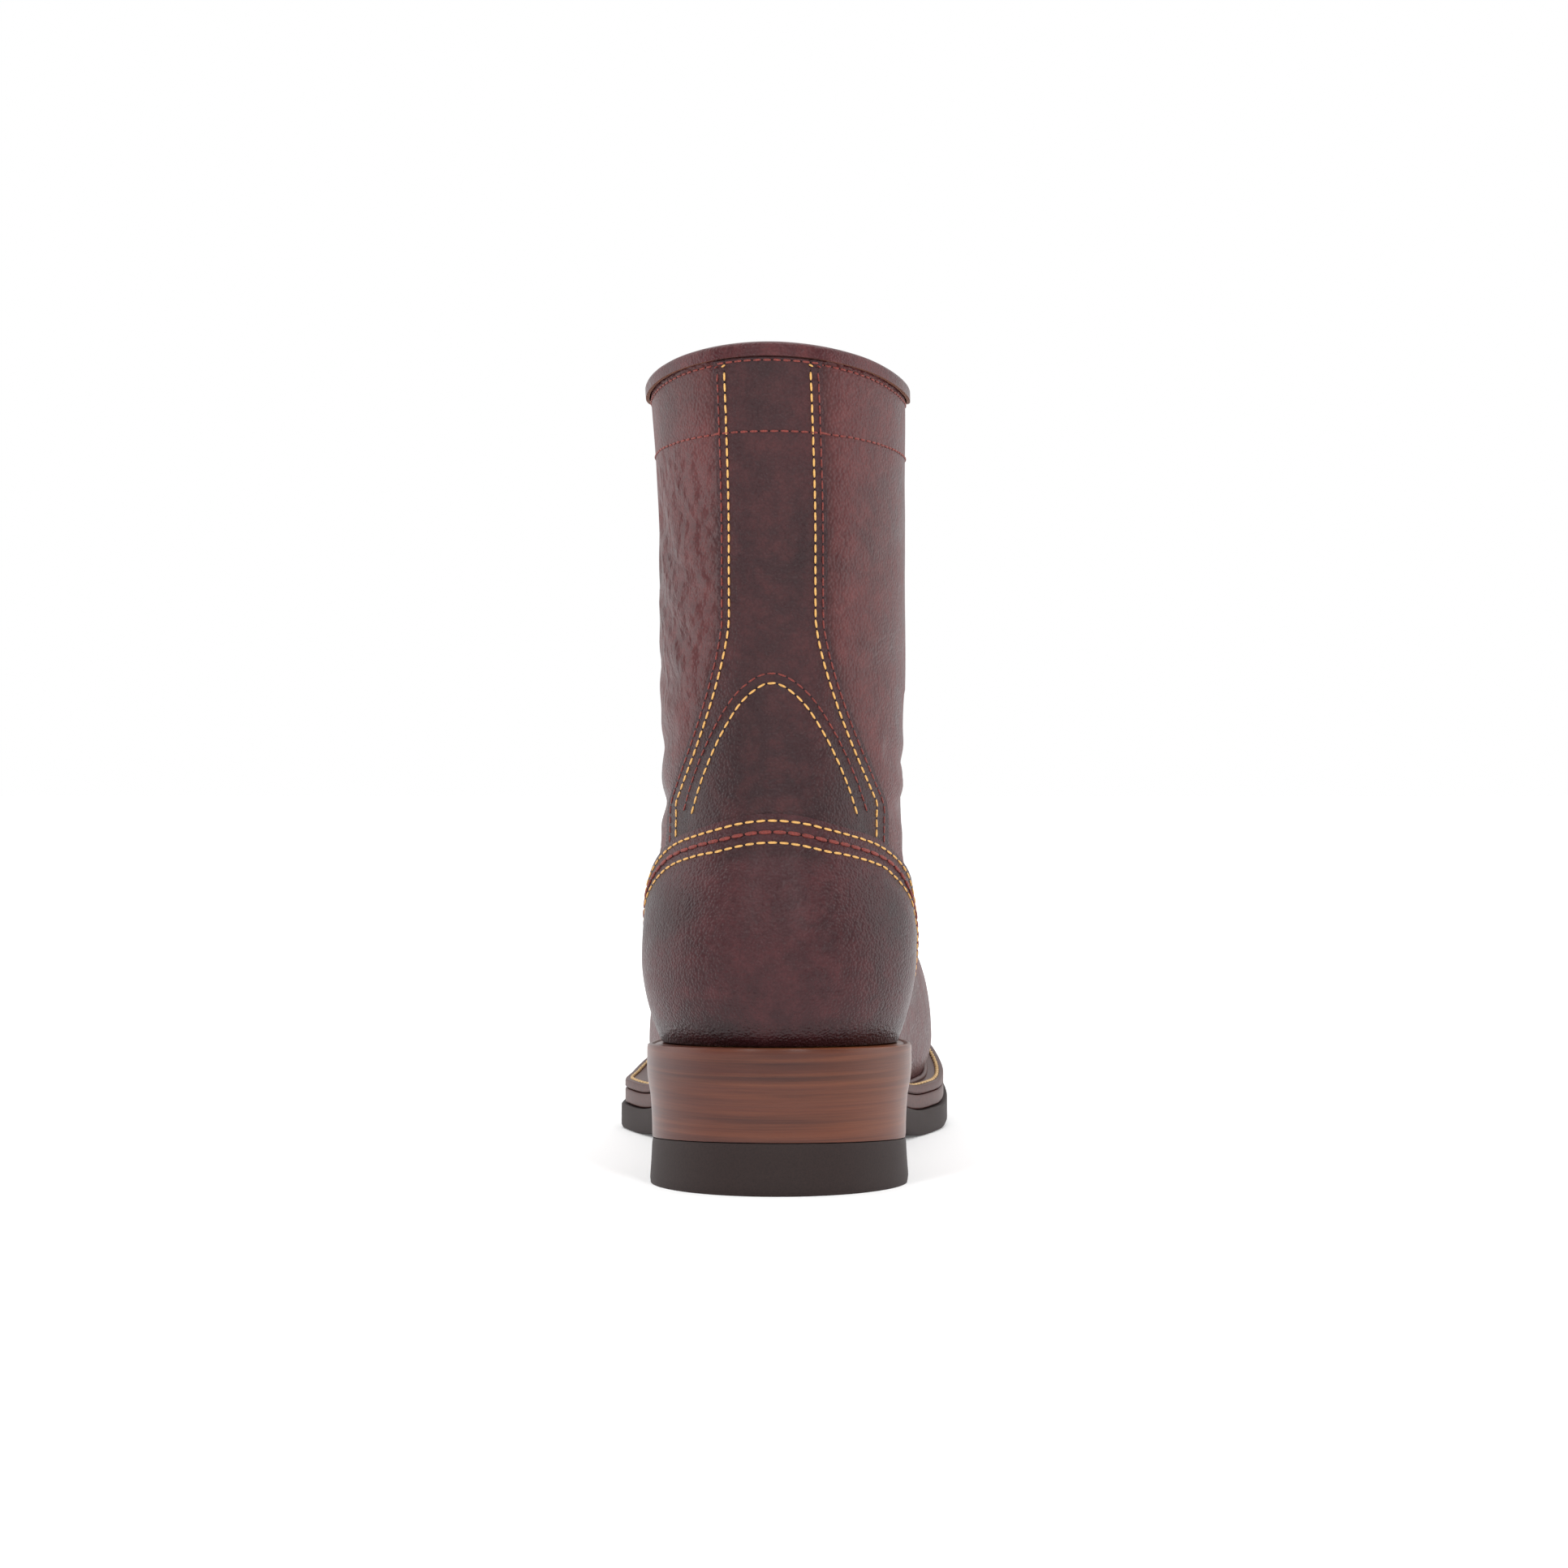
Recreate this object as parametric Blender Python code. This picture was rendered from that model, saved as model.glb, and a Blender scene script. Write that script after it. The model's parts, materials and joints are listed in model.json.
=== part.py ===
"""Left packer boot: a laced eight inch leather boot on a stacked heel and a rubber half sole.

The toe points to +Y, up is +Z, and the inner side of the foot is +X. All sizes are in metres.
Places along the foot are written as s, the distance from the back of the heel seat. The origin
is on the floor, under the middle of the heel.
"""

import math

import bmesh
import bpy
import numpy as np
from mathutils import Vector
from mathutils.bvhtree import BVHTree

MM = 0.001

# Driving dimensions of the sole
LENGTH = 305 * MM
BALL_WIDTH = 110.5 * MM
TOE_SPRING = 21 * MM
BALL_PLACE = 188 * MM
BALL_FLAT = 16 * MM
HEEL_ROUND = 42 * MM
TOE_ROUND = 88 * MM
TOE_FULLNESS = 2.4
MIDSOLE_THICKNESS = 5 * MM
WELT_THICKNESS = 3 * MM
RUBBER_THICKNESS = 8.6 * MM
RUBBER_LEDGE = 1.3 * MM
RUBBER_START = 128 * MM
RUBBER_TAPER = 34 * MM
RUBBER_THIN = 2 * MM
RUBBER_BEVEL = 1.2 * MM

# Driving dimensions of the heel
HEEL_LENGTH = 80 * MM
HEEL_SEAT_BACK = 34.9 * MM
HEEL_PITCH = 0.0385
TOP_LIFT_BACK = 15.6 * MM
TOP_LIFT_FALL = 0.05
LIFT_COUNT = 4
HEEL_HOLLOW = 1.2 * MM
HEEL_FLARE = 0.7 * MM
BREAST_SLANT = 4 * MM
BREAST_CURVE = 4 * MM

# Driving dimensions of the upper
COLLAR_HEIGHT = 249 * MM
COLLAR_DIP = 6.5 * MM
ANKLE_HEIGHT = 115 * MM
INSTEP_RISE = 100 * MM
SHAFT_DEPTH = 120 * MM
SHAFT_WIDTH = 75.6 * MM
HEEL_CURVE = 10 * MM
WALL = 2.4 * MM
THROAT_ROW = 7.6
THROAT_GAP = 19 * MM

# Driving dimensions of what is sewn to the upper
COUNTER_THICKNESS = 2.0 * MM
BACKSTAY_THICKNESS = 1.2 * MM
BACKSTAY_WIDTH = 30.6 * MM
BACKSTAY_FOOT_WIDTH = 64 * MM
BACKSTAY_FLARE_HEIGHT = 168 * MM
FACING_THICKNESS = 1.2 * MM
FACING_WIDTH = 25 * MM
TONGUE_THICKNESS = 2.0 * MM
TONGUE_WIDTH = 70 * MM
TONGUE_TOP = 8 * MM
BINDING_HEIGHT = 4.2 * MM
BINDING_THICKNESS = 1.2 * MM
BINDING_CROWN = 1.5 * MM
INSOLE_THICKNESS = 4.5 * MM

# Driving dimensions of the lacing
EYELET_PAIRS = 7
EYELET_RADIUS = 4.2 * MM
EYELET_HOLE = 2.2 * MM
EYELET_THICKNESS = 0.8 * MM
EYELET_INSET = 11 * MM
LACE_DIAMETER = 3.2 * MM

# Clearances
GAP = 0.3 * MM
SEWN_GAP = 0.35 * MM
EYELET_GAP = 0.45 * MM
SNAP = 0.1 * MM
TONGUE_GAP = 0.55 * MM

# How finely the forms are cut into faces
END_STEPS = (0.3 * MM, 1.2 * MM, 3.4 * MM)
UPPER_COLUMNS = 48
END_SHARE = 0.2
STATION_STEP = 12 * MM
ORIGIN_S = HEEL_LENGTH / 2

# Edge of the welt and midsole in plan: place along LENGTH, widths as shares of BALL_WIDTH
SOLE_PLAN = (
    # place, medial, lateral
    (0.00, 0.352, 0.352),
    (0.20, 0.358, 0.358),
    (0.42, 0.275, 0.335),
    (0.64, 0.425, 0.556),
    (0.70, 0.443, 0.552),
    (0.80, 0.430, 0.520),
    (1.00, 0.395, 0.455),
)

# The last in plan at its widest: shares as above, and how much it draws in at the feather line
LAST_PLAN = (
    # place, medial, lateral, tuck
    (0.00, 0.352, 0.352, 0.150),
    (0.18, 0.352, 0.352, 0.150),
    (0.42, 0.300, 0.345, 0.160),
    (0.66, 0.400, 0.487, 0.090),
    (0.74, 0.402, 0.478, 0.080),
    (1.00, 0.375, 0.425, 0.060),
)

# Rings of the foot, from the feather line to the instep: the back rises in shares of the way to
# ANKLE_HEIGHT and moves in by shares of HEEL_CURVE; the front rises over the sole in shares of
# INSTEP_RISE and reaches along LENGTH
FOOT_RINGS = (
    # back_rise, back_in, front_rise, front_reach
    (0.000, 0.62, 0.004, 0.976),
    (0.085, 0.22, 0.135, 0.985),
    (0.180, -0.02, 0.262, 0.971),
    (0.280, -0.12, 0.385, 0.932),
    (0.380, -0.13, 0.478, 0.872),
    (0.480, -0.06, 0.565, 0.787),
    (0.590, 0.12, 0.652, 0.695),
    (0.710, 0.34, 0.750, 0.610),
    (0.850, 0.56, 0.860, 0.541),
    (1.000, 0.72, 1.000, 0.489),
)

# Rings of the shaft: rises are shares of the way from the ankle, or instep, to the collar,
# and depth is a share of SHAFT_DEPTH
SHAFT_RINGS = (
    # back_rise, back_in, front_rise, depth
    (0.12, 0.80, 0.19, 1.065),
    (0.32, 0.74, 0.41, 1.000),
    (0.64, 0.50, 0.70, 0.980),
    (1.00, 0.24, 1.00, 0.996),
)

# The shaft seen from behind: height as a share of COLLAR_HEIGHT, width as a share of
# SHAFT_WIDTH, and how far its middle leans to the inner side as a share of SHAFT_WIDTH
SHAFT_SECTIONS = (
    # height, width, lean
    (0.28, 0.985, 0.010),
    (0.42, 0.962, 0.002),
    (0.52, 0.990, 0.002),
    (0.70, 1.000, 0.000),
    (0.80, 1.000, 0.000),
    (0.90, 1.018, -0.008),
    (1.00, 1.045, -0.020),
)

# Top edge of the counter seen from the side: place in shares of HEEL_LENGTH, height as a share
# of the way from the heel seat to ANKLE_HEIGHT
COUNTER_EDGE = (
    # place, height
    (-0.05, 0.985),
    (0.05, 0.965),
    (0.15, 0.900),
    (0.35, 0.815),
    (0.50, 0.700),
    (0.65, 0.505),
    (0.85, 0.290),
    (0.97, 0.140),
    (1.05, -0.100),
)


def smooth(x, low, high):
    """Ease from 0 at low to 1 at high."""
    t = min(1.0, max(0.0, (x - low) / (high - low)))
    return t * t * (3 - 2 * t)


def mix(a, b, t):
    """Straight blend from a to b."""
    return a + (b - a) * t


def spline(xs, ys):
    """A smooth curve through points, level with its last point past either end."""
    xs = [float(x) for x in xs]
    ys = [float(y) for y in ys]
    slopes = []
    for i in range(len(xs)):
        low, high = max(i - 1, 0), min(i + 1, len(xs) - 1)
        slopes.append((ys[high] - ys[low]) / (xs[high] - xs[low]))

    def curve(x):
        if x <= xs[0]:
            return ys[0]
        if x >= xs[-1]:
            return ys[-1]
        i = next(k for k in range(len(xs) - 1) if x <= xs[k + 1])
        span = xs[i + 1] - xs[i]
        t = (x - xs[i]) / span
        rise = (2 * t**3 - 3 * t**2 + 1) * ys[i] + (3 * t**2 - 2 * t**3) * ys[i + 1]
        lean = (t**3 - 2 * t**2 + t) * slopes[i] + (t**3 - t**2) * slopes[i + 1]
        return rise + lean * span

    return curve


def column(table, index, scale=1.0):
    """A smooth curve of one column of a table over its first column."""
    return spline([row[0] for row in table], [row[index] * scale for row in table])


# The sole line
def toe_rise(s):
    """Height of the sole's underside over the floor in front of the ball."""
    start = BALL_PLACE + BALL_FLAT / 2
    if s <= start:
        return 0.0
    return TOE_SPRING * ((s - start) / (LENGTH - start)) ** 1.5


def sole_line(s):
    """Underside of the midsole: the heel seat, the shank, the flat at the ball and the toe."""
    seat = HEEL_SEAT_BACK - HEEL_PITCH * min(s, HEEL_LENGTH)
    along = (s - HEEL_LENGTH) / (BALL_PLACE - BALL_FLAT / 2 - HEEL_LENGTH)
    drop = (1 - math.cos(math.pi * min(1.0, max(0.0, along)))) / 2
    return mix(seat, RUBBER_THICKNESS + GAP, drop) + toe_rise(s)


def midsole_top(s):
    return sole_line(s) + MIDSOLE_THICKNESS


def seat(s):
    """Top of the welt, on which the upper stands."""
    return midsole_top(s) + GAP + WELT_THICKNESS


SOLE_SIDES = {
    1: column(SOLE_PLAN, 1, BALL_WIDTH),
    -1: column(SOLE_PLAN, 2, BALL_WIDTH),
}


def round_ends(s, start, end, back, front, fullness):
    """Share of the full width at s for an outline with a round back and a round front."""
    share = 1.0
    if s < start + back:
        share *= math.sqrt(max(0.0, 1 - (1 - (s - start) / back) ** 2))
    if s > end - front:
        t = (s - (end - front)) / front
        share *= max(0.0, 1 - t**fullness) ** (1 / fullness)
    return share


def sole_half(s, side, grow=0.0):
    """Half width of the midsole at s on one side, grown outwards all round."""
    share = round_ends(s, -grow, LENGTH + grow, HEEL_ROUND + grow, TOE_ROUND + grow, TOE_FULLNESS)
    return (SOLE_SIDES[side](s / LENGTH) + grow) * share


# The last, as a half breadth over its side view
def ring_tables():
    """Back and front of every ring in the side view, as smooth curves over the ring's number."""
    rows = []
    seat_back = seat(0) + GAP
    for back_rise, back_in, front_rise, front_reach in FOOT_RINGS:
        front_s = front_reach * LENGTH
        rows.append((
            back_in * HEEL_CURVE,
            mix(seat_back, ANKLE_HEIGHT, back_rise),
            front_s,
            seat(front_s) + GAP + front_rise * INSTEP_RISE,
        ))
    instep = rows[-1][3]
    for back_rise, back_in, front_rise, depth in SHAFT_RINGS:
        back_s = back_in * HEEL_CURVE
        rows.append((
            back_s,
            mix(ANKLE_HEIGHT, COLLAR_HEIGHT - BINDING_CROWN, back_rise),
            back_s + depth * SHAFT_DEPTH,
            mix(instep, COLLAR_HEIGHT - BINDING_CROWN, front_rise),
        ))
    numbers = range(len(rows))
    return [spline(numbers, [row[i] for row in rows]) for i in range(4)]


BACK_S, BACK_Z, FRONT_S, FRONT_Z = ring_tables()
TOP_RING = len(FOOT_RINGS) + len(SHAFT_RINGS) - 1
ANKLE_RING = len(FOOT_RINGS) - 1
RIDGE = np.array([(FRONT_S(v), FRONT_Z(v)) for v in np.linspace(0, TOP_RING, 240)])
RIDGE_BY_HEIGHT = RIDGE.T.copy()
RIDGE_BY_PLACE = RIDGE[np.argmax(RIDGE[:, 0]):][::-1].T.copy()
LAST_SIDES = {
    1: column(LAST_PLAN, 1, BALL_WIDTH),
    -1: column(LAST_PLAN, 2, BALL_WIDTH),
}
LAST_TUCK = column(LAST_PLAN, 3)
SHAFT_HALF = column(SHAFT_SECTIONS, 1, SHAFT_WIDTH / 2)
SHAFT_LEAN = column(SHAFT_SECTIONS, 2, SHAFT_WIDTH)


def ridge_at_height(z):
    """How far forward the front of the boot reaches at a height."""
    return float(np.interp(z, RIDGE_BY_HEIGHT[1], RIDGE_BY_HEIGHT[0]))


def ridge_over(s):
    """Height of the top of the foot over a place along it."""
    return float(np.interp(s, RIDGE_BY_PLACE[0], RIDGE_BY_PLACE[1]))


def shaft_share(z):
    """0 in the foot and 1 in the shaft."""
    return smooth(z, 0.60 * ANKLE_HEIGHT, 1.02 * ANKLE_HEIGHT)


def front_closeness(s, z):
    """0 in the middle of the boot and 1 on the line of its toe, vamp, instep and shin."""
    widest = seat(s) + 0.12 * INSTEP_RISE
    over = max(0.0, z - widest) / max(1 * MM, ridge_over(s) - widest)
    over *= smooth(s, 0.2 * SHAFT_DEPTH, 0.9 * SHAFT_DEPTH)
    reach = mix(TOE_ROUND, 0.49 * SHAFT_DEPTH, smooth(z, 0.6 * ANKLE_HEIGHT, 1.3 * ANKLE_HEIGHT))
    ahead = max(0.0, s - (ridge_at_height(z) - reach)) / reach
    vamp = 1 - smooth(z, ANKLE_HEIGHT, 1.3 * ANKLE_HEIGHT)
    vamp *= 1 - smooth(s, LENGTH - TOE_ROUND, LENGTH - 0.15 * TOE_ROUND)
    return (vamp * min(over, 1.2) ** 8 + (1 - vamp) * min(ahead, 1.2) ** 8) ** (1 / 8)


def back_closeness(s, z, back):
    """0 away from the heel and 1 on the line of its back."""
    reach = mix(HEEL_ROUND, 0.5 * SHAFT_DEPTH, shaft_share(z))
    return max(0.0, 1 - (s - back) / reach)


def along_ring(theta):
    """Share of the way from the back to the front, with more turns to both round ends."""
    turn = 1 - abs(1 - abs(theta) / math.pi)
    near = min(turn, 1 - turn)
    if near < END_SHARE:
        share = near * near / (2 * END_SHARE * (1 - END_SHARE))
    else:
        share = (near - END_SHARE / 2) / (1 - END_SHARE)
    return share if turn < 0.5 else 1 - share


def place(v, theta):
    """Point of the last's surface: ring v, turned by theta from the back round to the front."""
    share = along_ring(theta)
    back_s, front_s = BACK_S(v), FRONT_S(v)
    s = mix(back_s, front_s, share)
    flat = smooth(v, 0, ANKLE_RING)
    level = mix(BACK_Z(v), FRONT_Z(v), share)
    over = mix(BACK_Z(v) - seat(back_s), FRONT_Z(v) - seat(front_s), share)
    dip = COLLAR_DIP * math.sin(theta) ** 2 * smooth(v, ANKLE_RING, TOP_RING)
    z = mix(seat(s) + over, level, flat) - dip
    side = 1 if math.sin(theta) >= 0 else -1
    foot = LAST_SIDES[side](s / LENGTH)
    full = mix(foot, SHAFT_HALF(z / COLLAR_HEIGHT), shaft_share(z))
    swell = mix(26 * MM, 13 * MM, smooth(s, 0.3 * LENGTH, 0.6 * LENGTH))
    draw = 1 - math.sin(math.pi / 2 * min(1.0, max(0.0, z - seat(s)) / swell))
    full *= 1 - LAST_TUCK(s / LENGTH) * draw
    near = front_closeness(s, z) / front_closeness(front_s, FRONT_Z(v))
    roundness = 1 - back_closeness(s, z, back_s) ** 2 - min(1.0, near) ** 2.3
    half = full * math.sqrt(max(0.0, roundness))
    lean = SHAFT_LEAN(z / COLLAR_HEIGHT) * smooth(z, seat(0), ANKLE_HEIGHT)
    return Vector((side * half + lean, s - ORIGIN_S, z))


def skin(v, theta, offset=0.0, lift=0.0):
    """Point at a distance outside the last's surface, and raised by lift."""
    point = place(v, theta)
    step_v, step_t = 0.04, 0.02
    low, high = max(0.0, v - step_v), min(TOP_RING, v + step_v)
    along = place(high, theta) - place(low, theta)
    around = place(v, theta + step_t) - place(v, theta - step_t)
    normal = around.cross(along)
    level = min(smooth(v, -0.1, 1.4), smooth(TOP_RING - v, -0.05, 0.5))
    normal.z *= level
    if normal.length < 1e-12:
        normal = Vector((0, 1, 0))
    return point + normal.normalized() * offset + Vector((0, 0, lift))


def edge_angle(v, distance):
    """Turn at which a point of ring v lies at a distance to the side of the front line."""
    low, high = math.pi / 2, math.pi
    for _ in range(22):
        middle = (low + high) / 2
        if place(v, middle).x - place(v, math.pi).x > distance:
            low = middle
        else:
            high = middle
    return high


def throat_half(v):
    """Half of the throat's opening at ring v."""
    return THROAT_GAP / 2 * mix(0.55, 1.25, smooth(v, THROAT_ROW, TOP_RING))


def front_ring(height):
    """Number of the ring whose front is at a height."""
    low, high = 0.0, float(TOP_RING)
    for _ in range(22):
        middle = (low + high) / 2
        if place(middle, math.pi).z < height:
            low = middle
        else:
            high = middle
    return (low + high) / 2


COUNTER_LINE = spline(
    [row[0] * HEEL_LENGTH for row in COUNTER_EDGE],
    [mix(seat(0), ANKLE_HEIGHT, row[1]) for row in COUNTER_EDGE],
)


# Making objects
def finish(mesh, name, colour, roughness, metallic=0.0):
    """Turn a bmesh into a named object with its material."""
    bmesh.ops.remove_doubles(mesh, verts=mesh.verts, dist=0.01 * MM)
    bmesh.ops.dissolve_degenerate(mesh, edges=mesh.edges, dist=0.005 * MM)
    bmesh.ops.triangulate(mesh, faces=mesh.faces)
    bmesh.ops.recalc_face_normals(mesh, faces=mesh.faces)
    if mesh.calc_volume(signed=True) < 0:
        bmesh.ops.reverse_faces(mesh, faces=mesh.faces)
    data = bpy.data.meshes.new(name)
    mesh.to_mesh(data)
    mesh.free()
    data.shade_smooth()
    data.set_sharp_from_angle(angle=math.radians(40))
    item = bpy.data.objects.new(name, data)
    bpy.context.collection.objects.link(item)
    material = bpy.data.materials.new(name)
    material.use_nodes = True
    shader = material.node_tree.nodes["Principled BSDF"]
    shader.inputs["Base Color"].default_value = (*colour, 1)
    shader.inputs["Roughness"].default_value = roughness
    shader.inputs["Metallic"].default_value = metallic
    data.materials.append(material)
    return item


LEATHER = (0.115, 0.036, 0.036)
DARK_LEATHER = (0.060, 0.022, 0.023)
HEEL_LEATHER = (0.130, 0.045, 0.026)
SOLE_LEATHER = (0.100, 0.045, 0.033)
RUBBER = (0.030, 0.022, 0.020)
INSOLE_LEATHER = (0.45, 0.30, 0.18)
BRASS = (0.45, 0.30, 0.12)
CORD = (0.035, 0.020, 0.016)


def cell(j, i, columns):
    """The two triangles of a cell of a grid, split the same way on the left and the right."""
    low, high = (j, i), (j + 1, i)
    low_next, high_next = (j, i + 1), (j + 1, i + 1)
    if 2 * i < columns:
        return (low, low_next, high), (low_next, high_next, high)
    return (low, low_next, high_next), (low, high_next, high)


def grid_wall(name, outer, inner, open_rows, colour, roughness):
    """Close two grids of points, outer and inner, into one wall.

    Both are lists of rows. open_rows says for each row whether its two ends are apart; where
    they are not, the ends meet and the wall runs on round.
    """
    mesh = bmesh.new()
    outside = [[mesh.verts.new(p) for p in row] for row in outer]
    inside = [[mesh.verts.new(p) for p in row] for row in inner]
    rows, columns = len(outer), len(outer[0]) - 1
    for j in range(rows - 1):
        for i in range(columns):
            for corners in cell(j, i, columns):
                mesh.faces.new([outside[b][a] for b, a in corners])
                mesh.faces.new([inside[b][a] for b, a in corners[::-1]])
    for j in (0, rows - 1):
        for i in range(columns):
            mesh.faces.new((outside[j][i], inside[j][i], inside[j][i + 1], outside[j][i + 1]))
    for j in range(rows - 1):
        if open_rows[j] or open_rows[j + 1]:
            for i in (0, columns):
                mesh.faces.new((outside[j][i], outside[j + 1][i], inside[j + 1][i], inside[j][i]))
    return finish(mesh, name, colour, roughness)


def upper_rows():
    """Numbers of the rows of faces of the upper, with more of them where it curves."""
    halves = [0.5, 1.5, 2.5, ANKLE_RING - 0.5, ANKLE_RING + 0.5, ANKLE_RING + 1.5]
    return sorted(list(range(TOP_RING + 1)) + halves + [THROAT_ROW])


def upper_turns(v):
    """Turns of the upper's columns of faces at ring v, between the edges of the throat."""
    end = edge_angle(v, throat_half(v)) if v > THROAT_ROW else math.pi
    return [end * (2 * i / UPPER_COLUMNS - 1) for i in range(UPPER_COLUMNS + 1)]


GRID = [(v, upper_turns(v)) for v in upper_rows()]


def make_upper():
    """The hollow upper: one wall, open at the collar, at the throat and underneath."""
    outer = [[skin(v, turn) for turn in turns] for v, turns in GRID]
    inner = [[skin(v, turn, -WALL) for turn in turns] for v, turns in GRID]
    return grid_wall("upper", outer, inner, [v > THROAT_ROW for v, _ in GRID], LEATHER, 0.45)


def clip(polygon, values):
    """The part of a polygon on which a value given at the grid's corners is not over 0.

    A corner of the polygon is a dictionary of the grid's corners and their weights.
    """
    kept = []
    amounts = [sum(w * values[c] for c, w in corner.items()) for corner in polygon]
    for k, corner in enumerate(polygon):
        following, a, b = polygon[k - len(polygon) + 1], amounts[k], amounts[k - len(polygon) + 1]
        if a <= 0:
            kept.append(corner)
        if a * b < 0:
            share = a / (a - b)
            weights = {c: w * (1 - share) for c, w in corner.items()}
            for c, w in following.items():
                weights[c] = weights.get(c, 0.0) + w * share
            kept.append(weights)
    return kept if len(kept) > 2 else []


def make_patch(name, limits, thickness, colour, roughness):
    """A sheet sewn on the upper, parallel to its faces, where all of the limits are below 0.

    Each limit is a function of a ring, a turn and their point, in metres.
    """
    values = []
    for limit in limits:
        amounts = {}
        for j, (v, turns) in enumerate(GRID):
            for i, turn in enumerate(turns):
                amount = limit(v, turn, place(v, turn))
                amounts[j, i] = 0.0 if abs(amount) < SNAP else amount
        values.append(amounts)
    mesh = bmesh.new()
    pairs, edges = {}, {}
    for j in range(len(GRID) - 1):
        for i in range(UPPER_COLUMNS):
            for corners in cell(j, i, UPPER_COLUMNS):
                polygon = [{corner: 1.0} for corner in corners]
                for amounts in values:
                    polygon = clip(polygon, amounts)
                keys = []
                for weights in polygon:
                    key = tuple(sorted((c, round(w, 5)) for c, w in weights.items()))
                    if key not in pairs:
                        pairs[key] = [
                            mesh.verts.new(sum(
                                (skin(GRID[b][0], GRID[b][1][a], away) * w
                                 for (b, a), w in weights.items()), Vector()))
                            for away in (SEWN_GAP, SEWN_GAP + thickness)
                        ]
                    keys.append(key)
                if len(set(keys)) < 3:
                    continue
                mesh.faces.new([pairs[key][1] for key in keys])
                mesh.faces.new([pairs[key][0] for key in keys[::-1]])
                for one, two in zip(keys, keys[1:] + keys[:1]):
                    edges[one, two] = (two, one)
    for (one, two), opposite in edges.items():
        if opposite not in edges:
            mesh.faces.new((pairs[two][1], pairs[one][1], pairs[one][0], pairs[two][0]))
    return finish(mesh, name, colour, roughness)


def over_counter(point):
    """Height of a point over the counter's top edge, or how far it lies in front of it."""
    s = point.y + ORIGIN_S
    return max(point.z - COUNTER_LINE(s), s - COUNTER_EDGE[-1][0] * HEEL_LENGTH)


def over_binding(v, turn, point):
    """Height of a point over the lower edge of the binding, with room for a gap."""
    return point.z - place(TOP_RING, turn).z + BINDING_HEIGHT + 2 * GAP


def make_counter():
    """The counter cover round the heel, under its curved top edge."""
    make_patch(
        "counter", [lambda v, turn, point: over_counter(point)],
        COUNTER_THICKNESS, DARK_LEATHER, 0.4)


def backstay_half(z):
    """Half width of the backstay at a height: a strip that flares to the counter."""
    flare = max(0.0, BACKSTAY_FLARE_HEIGHT - z) / (BACKSTAY_FLARE_HEIGHT - ANKLE_HEIGHT)
    return mix(BACKSTAY_WIDTH / 2, BACKSTAY_FOOT_WIDTH / 2, min(flare, 1.0) ** 1.4)


def make_backstay():
    """The strip up the back seam, from the counter to the binding."""
    def beyond_edge(v, turn, point):
        if point.y + ORIGIN_S > SHAFT_DEPTH / 3:
            return SHAFT_DEPTH
        return abs(point.x - place(v, 0).x) - backstay_half(point.z)

    make_patch(
        "backstay",
        [beyond_edge, lambda v, turn, point: GAP - over_counter(point), over_binding],
        BACKSTAY_THICKNESS, DARK_LEATHER, 0.4)


def make_facing(name, side):
    """One of the two strips beside the throat that carry the eyelets."""
    low = place(THROAT_ROW + 0.12, math.pi).z
    edges = {v: turns[-1] for v, turns in GRID}

    def beyond_edge(v, turn, point):
        if turn * side <= 0:
            return SHAFT_DEPTH
        return (point - place(v, side * edges[v])).length - FACING_WIDTH

    def under_foot(v, turn, point):
        return (low - place(v, math.pi).z) if v < TOP_RING else -SHAFT_DEPTH

    make_patch(
        name, [beyond_edge, under_foot, over_binding],
        FACING_THICKNESS, DARK_LEATHER, 0.42)


def make_tongue():
    """The tongue behind the throat, from under the vamp to just over the collar."""
    low, high = THROAT_ROW - 0.55, TOP_RING
    rows, columns = 11, 8
    behind_binding = BINDING_THICKNESS + 2 * SEWN_GAP
    outer, inner = [], []
    for j in range(rows + 2):
        v = mix(low, high, min(j, rows) / rows)
        lift = TONGUE_TOP if j > rows else 0.0
        width = TONGUE_WIDTH / 2 * mix(0.55, 1.0, smooth(v, low, low + 2))
        far = -(WALL + TONGUE_GAP + behind_binding * smooth(v, TOP_RING - 1.2, TOP_RING - 0.35))
        outer_row, inner_row = [], []
        for i in range(-columns // 2, columns // 2 + 1):
            turn = edge_angle(v, width * abs(2 * i / columns))
            turn = turn if i >= 0 else 2 * math.pi - turn
            outer_row.append(skin(v, turn, far, lift))
            inner_row.append(skin(v, turn, far - TONGUE_THICKNESS, lift))
        outer.append(outer_row)
        inner.append(inner_row)
    return grid_wall("tongue", outer, inner, [True] * len(outer), LEATHER, 0.5)


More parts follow.
